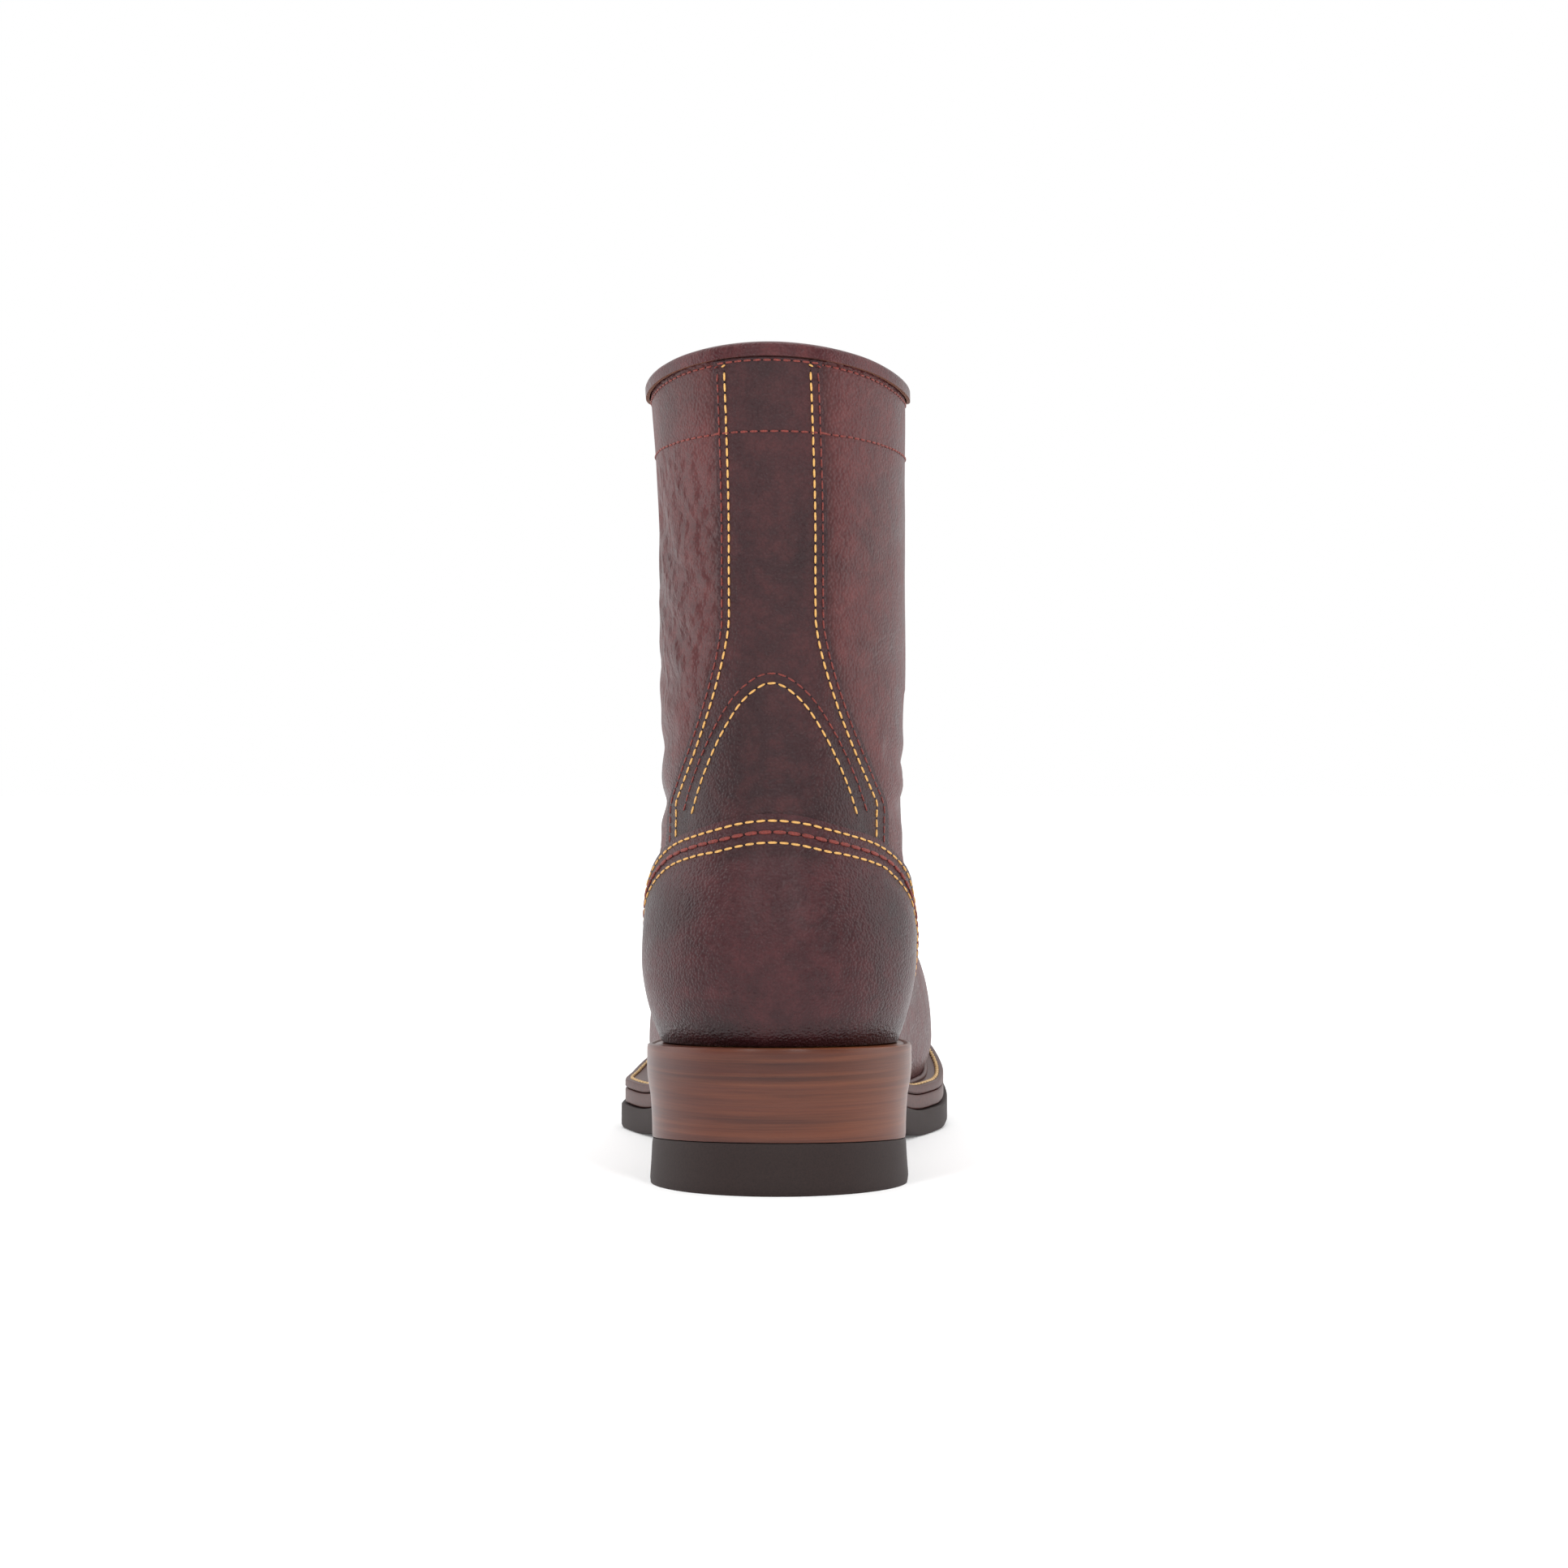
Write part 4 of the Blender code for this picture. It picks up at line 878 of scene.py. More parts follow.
def set_shares(piece, name, values):
    """Store one number per corner for a material to read."""
    layer = piece.data.attributes.new(name, "FLOAT", "POINT")
    layer.data.foreach_set("value", [float(value) for value in values])


INSIDE_THE_SHAFT = 30 * MM


def lay_sheet(name, columns, rows, where, offset, finish, press=None):
    """A grid laid on the last at where(i, j), raised by offset and pressed by press(points)."""
    clear_selection()
    bpy.ops.mesh.primitive_grid_add(x_subdivisions=columns, y_subdivisions=rows, size=2)
    sheet = bpy.context.object
    sheet.name = sheet.data.name = name
    points, ways = [], []
    for corner in sheet.data.vertices:
        i = round((corner.co.x + 1) / 2 * columns)
        j = round((corner.co.y + 1) / 2 * rows)
        point, way = skin_frame(*where(i, j))
        points.append(point)
        ways.append(way)
    points, ways = np.array(points), np.array(ways)
    raised = offset + (press(points) if press else np.zeros(len(points)))
    places = points + ways * raised.reshape(-1, 1)
    sheet.data.vertices.foreach_set("co", places.ravel())
    sheet.data.update()
    middle = Vector((0, INSIDE_THE_SHAFT, 0))
    outward = sum(face.normal.dot((face.center - middle) * Vector((1, 1, 0)))
                  for face in sheet.data.polygons)
    if outward < 0:
        flip_faces()
    sheet.data.materials.append(finish)
    sheet.data.materials.append(CUT_EDGE)
    return sheet


def weld_and_wall(sheet, wall, angle=40):
    """Merge what meets, give the sheet its wall inwards, and shade it smooth."""
    clear_selection()
    bpy.context.view_layer.objects.active = sheet
    sheet.select_set(True)
    bpy.ops.object.mode_set(mode="EDIT")
    bpy.ops.mesh.select_all(action="SELECT")
    bpy.ops.mesh.remove_doubles(threshold=0.02 * MM)
    bpy.ops.object.mode_set(mode="OBJECT")
    bpy.ops.object.modifier_add(type="SOLIDIFY")
    solid = sheet.modifiers[-1]
    solid.thickness = wall
    solid.offset = -1
    solid.material_offset_rim = 1
    bpy.ops.object.modifier_apply(modifier=solid.name)
    bpy.ops.object.shade_smooth_by_angle(angle=math.radians(angle))


def ring_at(theta, height_of):
    """Number of the ring whose height at a turn is that of a line in the side view."""
    def is_low(v):
        """Whether ring v is under the line."""
        point = spot(v, theta)
        return point.z < height_of(point.y + ORIGIN_S)

    return sum(search(0.0, float(TOP_RING), is_low)) / 2


def back_angle(v, distance):
    """Turn at which a point of ring v lies at a distance to the side of the back line."""
    back = spot(v, 0).x
    return search(0.0, math.pi / 2, lambda turn: spot(v, turn).x - back < distance, 18)[1]


def turn_beside(v, start, width):
    """Turn at which ring v lies at a width from its point at start, towards the back."""
    origin = spot(v, start)
    return search(0.0, start, lambda turn: (spot(v, turn) - origin).length > width, 18)[1]


# %% [markdown]
# ## Creases, placed by hand
#
# A boot that has been lasted and tried on creases where it bends: round the ankle, across the
# vamp, and in loose places of the shaft. Each crease here is a short line in the boot's own
# sizes, a soft trough with a low ridge on either side.

# %% Crease tables
SIDE_CREASES = (
    # side, line of (s, z) in mm, half width in mm, depth in mm
    (1, ((28, 118), (55, 112), (84, 118)), 3.0, 0.7),
    (1, ((40, 130), (70, 126), (98, 134)), 3.4, 0.6),
    (1, ((58, 97), (82, 92), (108, 100)), 3.6, 0.7),
    (-1, ((24, 121), (52, 114), (86, 121)), 3.2, 0.8),
    (-1, ((36, 136), (66, 131), (96, 141)), 3.6, 0.6),
    (-1, ((56, 99), (84, 94), (112, 103)), 3.8, 0.7),
    (-1, ((16, 176), (30, 186), (44, 201)), 3.2, 0.5),
    (-1, ((20, 160), (36, 170), (52, 186)), 3.4, 0.6),
    (-1, ((14, 193), (26, 203), (36, 214)), 2.8, 0.45),
    (-1, ((34, 150), (56, 156), (76, 168)), 4.0, 0.5),
    (1, ((22, 182), (40, 190), (60, 196)), 4.5, 0.3),
    (1, ((18, 150), (40, 158), (66, 160)), 5.0, 0.35),
)
TOP_CREASES = (
    # line of (x, s) in mm, half width in mm, depth in mm
    (((-38, 196), (-4, 207), (34, 198)), 3.2, 0.7),
    (((-36, 206), (0, 217), (30, 209)), 3.0, 0.55),
    (((-36, 185), (-2, 195), (34, 187)), 3.6, 0.5),
)


# %% Press the creases
def distance_to_line(across, along, line):
    """Distance of many points to a line of straight steps, all in mm."""
    nearest = np.full(len(across), 1e9)
    for (a0, b0), (a1, b1) in zip(line, line[1:]):
        step = np.array((a1 - a0, b1 - b0), float)
        share = ((across - a0) * step[0] + (along - b0) * step[1]) / step.dot(step)
        share = np.clip(share, 0, 1)
        nearest = np.minimum(nearest, np.hypot(
            across - a0 - share * step[0], along - b0 - share * step[1]))
    return nearest


def smooth_line(line, steps=8):
    """A curve through a crease's few points."""
    along, up = curves_through(line)
    shares = [(len(line) - 1) * k / steps for k in range(steps + 1)]
    return [(along(t), up(t)) for t in shares]


def trough(distance, width, depth):
    """A soft trough with a low ridge on either side, in mm."""
    return depth * (0.45 * np.exp(-((distance - 1.9 * width) / width) ** 2)
                    - np.exp(-(distance / width) ** 2))


def press_creases(points):
    """How far each point of the upper moves along its normal, in metres."""
    x, s, z = points[:, 0] / MM, (points[:, 1] + ORIGIN_S) / MM, points[:, 2] / MM
    moved = np.zeros(len(points))
    for side, line, width, depth in SIDE_CREASES:
        there = 1 / (1 + np.exp(-(x * side - 8) / 3))
        moved += there * trough(distance_to_line(s, z, smooth_line(line)), width, depth)
    over = 1 / (1 + np.exp(-(z - 48) / 3))
    for line, width, depth in TOP_CREASES:
        moved += over * trough(distance_to_line(x, s, smooth_line(line)), width, depth)
    for k, (px, py, pz) in enumerate(points):
        slack = 0.5 * smooth(-x[k], -6, 24) * smooth(z[k], 128, 165) * (1 - smooth(z[k], 205, 222))
        slack *= 1 - smooth(s[k], 70, 110)
        moved[k] += (0.12 + slack) * noise.noise(Vector((px * 95, py * 95, pz * 70)))
    return moved * MM


# %% [markdown]
# ## The upper
#
# The upper is the boot's main form: one skin over the whole last, open at the collar and down the
# throat. It is one fine grid, welded along the vamp, with a wall of 2.4 mm.

# %% Make the upper
UPPER_FINE = 192
ROWS_BELOW, ROWS_ABOVE = 74, 62
UPPER_RINGS = [THROAT_ROW * j / ROWS_BELOW for j in range(ROWS_BELOW)]
UPPER_RINGS += [mix(THROAT_ROW, TOP_RING, j / ROWS_ABOVE) for j in range(ROWS_ABOVE + 1)]
THROAT_TURNS = [edge_angle(v, throat_half(v)) if v > THROAT_ROW else math.pi for v in UPPER_RINGS]


def on_upper(i, j):
    """Ring and turn of one corner of the upper's grid."""
    return UPPER_RINGS[j], THROAT_TURNS[j] * (2 * i / UPPER_FINE - 1)


def give_masks(piece, shade_of, coarse_of):
    """Store a shade and a coarseness for every corner of a finished piece."""
    spots = [tuple(c / MM for c in corner.co) for corner in piece.data.vertices]
    set_shares(piece, "shade", [shade_of(x, y + ORIGIN_S / MM, z) for x, y, z in spots])
    set_shares(piece, "coarse", [coarse_of(x, y + ORIGIN_S / MM, z) for x, y, z in spots])


def upper_shade(x, s, z):
    """Painted shade by the backstay and at the feather line; random dark blotches, most on the
    outer side.
    """
    beside_stay = math.exp(-((abs(x) - backstay_half(z * MM) / MM) / 2.4) ** 2) if s < 40 else 0
    feather = seat(min(max(s * MM, 0), LENGTH)) / MM
    low = 1 - smooth(z, feather, feather + 9)
    blotch = smooth(noise.noise(Vector((x * 0.05, s * 0.05, z * 0.03))), 0.1, 0.6)
    return 0.35 * beside_stay + 0.35 * low + 0.25 * blotch * (x < 0) + 0.08 * blotch


def upper_coarse(x, s, z):
    """Loose, coarse grain on the outer side of the shaft."""
    outer = smooth(-x, 6, 20) * smooth(z, 120, 165) * (1 - smooth(z, 214, 224))
    return 0.08 + outer


boot_upper = lay_sheet(
    "boot_upper", UPPER_FINE, ROWS_BELOW + ROWS_ABOVE, on_upper, 0.0, SHAFT_LEATHER,
    press_creases)
weld_and_wall(boot_upper, WALL)
give_masks(boot_upper, upper_shade, upper_coarse)
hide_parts("upper")
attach(boot_upper, "root")
print("upper faces", len(boot_upper.data.polygons))

# %% [markdown]
# ## Counter, backstay and facings
#
# Thicker panels are sewn over the upper: the counter cover hugs the heel, the backstay covers the
# back seam and flares down to the counter, and the facings carry the eyelets. Each is a sheet on
# the same last, raised by what lies under it, with a raw cut edge of its own.

# %% Make the counter
COUNTER_ACROSS, COUNTER_UP = 132, 46
COUNTER_FACE = SEWN_GAP + COUNTER_THICKNESS
counter_end = next(t / 200 for t in range(100, 600)
                   if place(0, t / 200).y + ORIGIN_S > COUNTER_EDGE[-2][0] * HEEL_LENGTH)
counter_turns = [counter_end * (2 * i / COUNTER_ACROSS - 1) for i in range(COUNTER_ACROSS + 1)]
counter_tops = [ring_at(abs(turn), COUNTER_LINE) for turn in counter_turns]


def on_counter(i, j):
    """Ring and turn of one corner of the counter's grid."""
    return counter_tops[i] * j / COUNTER_UP, counter_turns[i]


def below_edge(points):
    """Distance of points under the counter's top edge, in mm."""
    s = points[:, 1] + ORIGIN_S
    edge = np.array([COUNTER_LINE(value) for value in s])
    lean = np.array([(COUNTER_LINE(value + 1 * MM) - COUNTER_LINE(value)) / MM for value in s])
    return (edge - points[:, 2]) / np.sqrt(1 + lean * lean) / MM


def press_counter(points):
    """The stiffener's edge shows as an arched dip, and the skin has broad soft unevenness."""
    x, z = points[:, 0] / MM, points[:, 2] / MM
    down = below_edge(points)
    arch = 12.4 + 4.6 * np.cos(np.clip(x / 17, -1, 1) * math.pi / 2)
    there = 1 / (1 + np.exp((np.abs(x) - 17) / 3))
    moved = 0.35 * np.exp(-(down / 5.5) ** 2)
    moved -= 0.55 * there * np.exp(-((down - 11.5) / 2.4) ** 2)
    moved += 0.28 * there * np.exp(-((down - arch - 0.8) / 1.1) ** 2)
    line = smooth_line(((33, 92), (39, 86), (41, 78)))
    moved += (x > 0) * trough(distance_to_line(x, z, line), 1.8, 0.4)
    for k, (px, py, pz) in enumerate(points):
        moved[k] += 0.16 * noise.noise(Vector((px * 60, py * 60, pz * 60)))
    return moved * MM


def counter_shade(x, s, z):
    """Painted shade in the arched dip and at the tucked-in lower edge; soft darker patches at the
    sides.
    """
    lean = (COUNTER_LINE(s * MM + 1 * MM) - COUNTER_LINE(s * MM)) / MM
    down = (COUNTER_LINE(s * MM) / MM - z) / math.sqrt(1 + lean * lean)
    dip = math.exp(-((down - 11.5) / 2.2) ** 2) * (1 - smooth(abs(x), 13, 20))
    foot = 1 - smooth(z, 47, 54)
    patch = smooth(noise.noise(Vector((x * 0.045, s * 0.045, z * 0.05 + 3))), 0.05, 0.5)
    upper_side = math.exp(-((z - 84) / 13) ** 2) * smooth(abs(x), 14, 30)
    return min(0.85, 0.5 * dip + 0.5 * foot + 0.3 * patch + 0.28 * upper_side)


boot_counter = lay_sheet(
    "boot_counter", COUNTER_ACROSS, COUNTER_UP, on_counter, COUNTER_FACE, COUNTER_LEATHER,
    press_counter)
weld_and_wall(boot_counter, COUNTER_THICKNESS)
give_masks(boot_counter, counter_shade, lambda x, s, z: 0.0)
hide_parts("counter")
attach(boot_counter, "root")
print("counter faces", len(boot_counter.data.polygons))

# %% [markdown]
# ## The backstay
#
# It is a straight strip at the top and a bell at the bottom. Under the bell lies the tip of the
# heel stiffener, sewn round with two rows: the leather is softly raised inside them.

# %% Make the backstay
STAY_ACROSS, STAY_UP = 30, 104
STIFFENER_TIP = (
    # half width of the yellow row and its height, both in mm
    (0.0, 149.4), (4.2, 148.0), (9.4, 143.4), (14.3, 136.0), (18.2, 128.4),
    (21.8, 119.6), (24.6, 110.8),
)
stay_top = ring_at(0, lambda s: COLLAR_HEIGHT - BINDING_CROWN - ROLL_HEIGHT - 2 * GAP)


def stay_row(j):
    """Height of a row of the backstay on the back seam, as a share of its own height."""
    return j / STAY_UP


def on_backstay(i, j):
    """Ring and turn of one corner of the backstay's grid."""
    across = 2 * i / STAY_ACROSS - 1
    turn = 0.0
    for _ in range(9):
        foot = ring_at(turn, lambda s: COUNTER_LINE(s) - 1.5 * MM)
        v = mix(foot, stay_top, stay_row(j))
        turn = mix(turn, back_angle(v, backstay_half(spot(v, turn).z) * abs(across)), 0.5)
    return v, math.copysign(turn, across)


tip_half = spline([p[1] for p in STIFFENER_TIP[::-1]], [p[0] for p in STIFFENER_TIP[::-1]])


def press_backstay(points):
    """Softly raised over the stiffener, and a little uneven above."""
    moved = np.zeros(len(points))
    for k, (px, py, pz) in enumerate(points):
        z = pz / MM
        inside = (tip_half(z) - abs(px) / MM) if z < 149.4 else 149.4 - z - abs(px) / MM
        moved[k] = 0.45 * smooth(inside, -1.5, 3.5) + 0.1 * noise.noise(
            Vector((px * 120, py * 120, pz * 60)))
        moved[k] -= 0.3 * math.exp(-((inside + 1.2) / 1.6) ** 2)
    return moved * MM


def backstay_shade(x, s, z):
    """Darker in patches and at the top, with painted shade just outside the stiffener's tip."""
    patch = smooth(noise.noise(Vector((x * 0.05, z * 0.022, 7.0))), -0.1, 0.5)
    beside_tip = math.exp(-((abs(x) - tip_half(z) - 1.5) / 1.8) ** 2) * (z < 150)
    # A painted highlight: lighter where the strip starts to flare.
    lit = math.exp(-((z - 162) / 10) ** 2)
    return max(0.0, min(0.7, 0.32 * patch + 0.25 * beside_tip - 0.1 * lit
                        + 0.1 * smooth(z, 225, 244)))


def backstay_coarse(x, s, z):
    """Short fine wrinkles where the strip starts to flare."""
    return 0.35 * math.exp(-((z - 162) / 12) ** 2) + 0.05


STAY_FACE = SEWN_GAP + BACKSTAY_THICKNESS
boot_backstay = lay_sheet(
    "boot_backstay", STAY_ACROSS, STAY_UP, on_backstay, STAY_FACE, BACKSTAY_LEATHER,
    press_backstay)
weld_and_wall(boot_backstay, BACKSTAY_THICKNESS)
give_masks(boot_backstay, backstay_shade, backstay_coarse)
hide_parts("backstay")
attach(boot_backstay, "root")
print("backstay faces", len(boot_backstay.data.polygons))

# %% Make the facings
FACING_ACROSS, FACING_UP = 16, 90
facing_low = THROAT_ROW + 0.12
facing_high = front_ring(COLLAR_HEIGHT - BINDING_CROWN - ROLL_HEIGHT - 2 * GAP)
facing_rings = [mix(facing_low, facing_high, j / FACING_UP) for j in range(FACING_UP + 1)]
facing_starts = [edge_angle(v, throat_half(v)) for v in facing_rings]
facing_ends = [turn_beside(v, start, FACING_WIDTH) for v, start in zip(facing_rings, facing_starts)]


def facing_shade(x, s, z):
    """An even dark finish with random darker patches."""
    return 0.12 + 0.1 * smooth(noise.noise(Vector((x * 0.06, s * 0.06, z * 0.03))), 0, 0.5)


for side, word in ((1, "medial"), (-1, "lateral")):
    def on_facing(i, j):
        """Ring and turn of one corner of this side's facing."""
        return facing_rings[j], side * mix(facing_starts[j], facing_ends[j], i / FACING_ACROSS)

    facing = lay_sheet(
        f"boot_facing_{word}", FACING_ACROSS, FACING_UP, on_facing, FACING_FACE,
        BACKSTAY_LEATHER)
    weld_and_wall(facing, FACING_THICKNESS)
    give_masks(facing, facing_shade, lambda x, s, z: 0.0)
    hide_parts(f"facing_{word}")
    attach(facing, "root")
print("facing faces", len(facing.data.polygons))

# %% [markdown]
# ## Binding and tongue
#
# The collar's raw edge is wrapped in a narrow strip of soft leather, rolled over and sewn down. The
# tongue is a soft sheet behind the throat that comes a little higher than the collar.

# %% Make the binding
BINDING_AROUND, BINDING_SECTION = 260, 18
collar_end = edge_angle(TOP_RING, throat_half(TOP_RING))


def binding_section(share):
    """Drop under the collar's edge and distance outside the last, round the rolled strip."""
    out = SEWN_GAP + BINDING_THICKNESS
    thick = WALL + 2 * out
    lower = 0.34
    if share < lower:
        return ROLL_HEIGHT * (1 - share / lower), out
    if share > 1 - lower:
        return ROLL_HEIGHT * (1 - (1 - share) / lower), -WALL - out
    turn = (share - lower) / (1 - 2 * lower) * math.pi
    return -BINDING_CROWN * math.sin(turn), -WALL / 2 + thick / 2 * math.cos(turn)


def binding_point(around, share):
    """A corner of the binding's grid, kept on the shaft's own slope."""
    turn = collar_end * (2 * around - 1)
    drop, away = binding_section(share)
    ripple = 1 + 0.05 * noise.noise(Vector((around * 420, share * 3, 0)))
    point = skin(TOP_RING, turn, away * (ripple if away > 0 else 1))
    under = skin(TOP_RING - 1, turn, away)
    down = max(0.0, drop) / (point.z - under.z)
    return point.lerp(under, down) + Vector((0, 0, max(0.0, -drop)))


clear_selection()
bpy.ops.mesh.primitive_grid_add(
    x_subdivisions=BINDING_AROUND, y_subdivisions=BINDING_SECTION, size=2)
boot_binding = bpy.context.object
boot_binding.name = "boot_binding"
for corner in boot_binding.data.vertices:
    corner.co = binding_point((corner.co.x + 1) / 2, (corner.co.y + 1) / 2)
boot_binding.data.update()
middle_face = boot_binding.data.polygons[BINDING_AROUND // 2]
if middle_face.normal.y > 0:
    flip_faces()
for finish_of in (BINDING_LEATHER, CUT_EDGE):
    boot_binding.data.materials.append(finish_of)
weld_and_wall(boot_binding, 0.9 * BINDING_THICKNESS, 60)
give_masks(boot_binding, lambda x, s, z: 0.1, lambda x, s, z: 0.0)
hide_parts("collar_binding")
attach(boot_binding, "root")
print("binding faces", len(boot_binding.data.polygons))

# %% Make the tongue
TONGUE_ACROSS, TONGUE_UP = 28, 74
tongue_low = THROAT_ROW - 0.55


def tongue_point(i, j):
    """A corner of the tongue's grid: behind the throat, narrower at the vamp, free at the top."""
    share = j / TONGUE_UP
    v = min(mix(tongue_low, TOP_RING + 0.35, share), TOP_RING)
    lift = TONGUE_TOP * smooth(share, 0.93, 1.0)
    width = TONGUE_WIDTH / 2 * mix(0.55, 1.0, smooth(v, tongue_low, tongue_low + 2))
    behind_binding = BINDING_THICKNESS + 2 * SEWN_GAP
    far = -(WALL + TONGUE_GAP + behind_binding * smooth(v, TOP_RING - 1.2, TOP_RING - 0.35))
    across = 2 * i / TONGUE_ACROSS - 1
    turn = edge_angle(v, width * abs(across))
    turn = turn if across >= 0 else 2 * math.pi - turn
    corner_cut = 5 * MM * max(0.0, abs(across) - 0.75) / 0.25 * smooth(share, 0.97, 1.0)
    return skin(v, turn, far, lift - corner_cut)


clear_selection()
bpy.ops.mesh.primitive_grid_add(x_subdivisions=TONGUE_ACROSS, y_subdivisions=TONGUE_UP, size=2)
boot_tongue = bpy.context.object
boot_tongue.name = "boot_tongue"
for corner in boot_tongue.data.vertices:
    corner.co = tongue_point(
        round((corner.co.x + 1) / 2 * TONGUE_ACROSS), round((corner.co.y + 1) / 2 * TONGUE_UP))
boot_tongue.data.update()
if boot_tongue.data.polygons[TONGUE_ACROSS * TONGUE_UP // 2].normal.y < 0:
    flip_faces()
for finish_of in (TONGUE_LEATHER, CUT_EDGE):
    boot_tongue.data.materials.append(finish_of)
weld_and_wall(boot_tongue, TONGUE_THICKNESS)
give_masks(boot_tongue, lambda x, s, z: 0.1, lambda x, s, z: 0.1)
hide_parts("tongue")
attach(boot_tongue, "root")
print("tongue faces", len(boot_tongue.data.polygons))

# %% [markdown]
# ## The sole's layers
#
# Welt, midsole and half sole are cut round the same outline. Each is a closed plate: a ladder of
# stations along the foot, with a few levels up its edge so that the trimmed edge is softly
# rounded. The welt is a ring, open in the middle, where the insole lies.

# %% Rubber depth and the heel's surfaces
def lift_top(s, number):
    """Underside of lift number: 0 is the rubber's top and LIFT_COUNT is the heel seat."""
    rubber = TOP_LIFT_BACK - TOP_LIFT_FALL * s
    return mix(rubber, sole_line(min(s, HEEL_LENGTH)) - GAP, number / LIFT_COUNT)


def heel_inset(z):
    """How far the heel's side lies inside the edge of the heel seat at a height."""
    share = z / HEEL_SEAT_BACK
    bow = math.sin(math.pi * min(1.0, max(0.0, share)))
    return HEEL_HOLLOW * bow + HEEL_FLARE * (1 - share)


def breast(x, z):
    """Place of the heel's front face, which slants back towards the floor and is hollow."""
    across = min(1.0, abs(x) / (0.358 * BALL_WIDTH))
    down = 1 - z / HEEL_SEAT_BACK
    return HEEL_LENGTH - BREAST_SLANT * down - BREAST_CURVE * (1 - across**2)


def rubber_depth(s):
    """Thickness of the half sole, which thins out at the shank."""
    return mix(RUBBER_THIN, RUBBER_THICKNESS, smooth(s, RUBBER_START, RUBBER_START + RUBBER_TAPER))

# %% Start and close a solid
def start_solid(name, corners, radius=1.0):
    """A circle as a primitive, which is then redrawn as the solid of this name."""
    clear_selection()
    bpy.ops.mesh.primitive_circle_add(vertices=corners, radius=radius, fill_type="NOTHING")
    piece = bpy.context.object
    piece.name = piece.data.name = name
    return piece


def close_solid(piece, mesh, finish, angle=38):
    """Turn a closed mesh's faces out, hand it to its piece and shade it smooth."""
    bmesh.ops.recalc_face_normals(mesh, faces=mesh.faces)
    if mesh.calc_volume(signed=True) < 0:
        bmesh.ops.reverse_faces(mesh, faces=mesh.faces)
    mesh.to_mesh(piece.data)
    mesh.free()
    piece.data.materials.append(finish)
    bpy.ops.object.shade_smooth_by_angle(angle=math.radians(angle))


# %% A plate of the sole
def plate(name, start, end, grow, levels, finish):
    """A closed plate between two places along the foot, with levels (inset, height of s)."""
    steps = 150
    stations = [mix(start, end, (1 - math.cos(math.pi * k / steps)) / 2) for k in range(steps + 1)]
    piece = start_solid(name, 2 * steps)
    mesh = bmesh.new()
    rows = []
    for inset, height_of in levels:
        sides = []
        for side in (1, -1):
            points = []
            for s in stations:
                near = min(max(s, start + inset), end - inset)
                half = max(0.0, sole_half(near, side, grow) - inset)
                points.append(mesh.verts.new((side * half, near - ORIGIN_S, height_of(near))))
            sides.append(points)
        rows.append(sides)
    for (low_in, low_out), (high_in, high_out) in zip(rows, rows[1:]):
        for low, high in ((low_in, high_in), (high_out, low_out)):
            for k in range(steps):
                mesh.faces.new((low[k], low[k + 1], high[k + 1], high[k]))
        mesh.faces.new((low_in[0], high_in[0], high_out[0], low_out[0]))
        mesh.faces.new((low_out[-1], high_out[-1], high_in[-1], low_in[-1]))
    for (medial, lateral), up in ((rows[0], False), (rows[-1], True)):
        for k in range(steps):
            face = (medial[k], medial[k + 1], lateral[k + 1], lateral[k])
            mesh.faces.new(face if up else face[::-1])
    bmesh.ops.remove_doubles(mesh, verts=mesh.verts, dist=0.01 * MM)
    close_solid(piece, mesh, finish)
    return piece


def rounded_edge(low_of, high_of, radius):
    """Levels of an edge rounded at its top and bottom."""
    levels = []
    for turn in (0, 30, 60, 90):
        a = math.radians(turn)
        levels.append((radius * (1 - math.sin(a)),
                       lambda s, a=a: low_of(s) + radius * (1 - math.cos(a))))
    for turn in (90, 60, 30, 0):
        a = math.radians(turn)
        levels.append((radius * (1 - math.sin(a)),
                       lambda s, a=a: high_of(s) - radius * (1 - math.cos(a))))
    return levels


# %% Make the midsole
boot_midsole = plate(
    "boot_midsole", EDGE_TRIM, LENGTH - EDGE_TRIM, 0,
    rounded_edge(sole_line, midsole_top, 0.7 * MM), WELT_LEATHER)


def sole_edge_masks(piece):
    """Masks of a sole layer, whose heel end is finished like the stack under it."""
    give_masks(piece, lambda x, s, z: 0.1 + 0.25 * smooth(-x, -10, 40), lambda x, s, z: 0.0)
    piece.data.materials.append(STACK_LEATHER)
    for face in piece.data.polygons:
        if face.center.y + ORIGIN_S < HEEL_LENGTH - 6 * MM:
            face.material_index = 1


sole_edge_masks(boot_midsole)
set_shares(boot_midsole, "warm", [
    0.2 * smooth(v.co.x / MM, -20, 30) * smooth(v.co.z / MM, 36.5, 40)
    for v in boot_midsole.data.vertices])
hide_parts("midsole")
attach(boot_midsole, "root")

# %% Make the half sole
def rubber_low(s):
    """Underside of the half sole."""
    return sole_line(s) - GAP - rubber_depth(s)


rubber_levels = [
    (RUBBER_BEVEL, rubber_low), (0.35 * RUBBER_BEVEL, lambda s: rubber_low(s) + 0.3 * RUBBER_BEVEL),
    (0.0, lambda s: rubber_low(s) + RUBBER_BEVEL), (0.0, lambda s: sole_line(s) - GAP - 0.5 * MM),
    (0.4 * MM, lambda s: sole_line(s) - GAP),
]
boot_half_sole = plate(
    "boot_half_sole", RUBBER_START, LENGTH + RUBBER_LEDGE - EDGE_TRIM, RUBBER_LEDGE,
    rubber_levels, RUBBER_BROWN)
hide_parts("half_sole")
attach(boot_half_sole, "root")

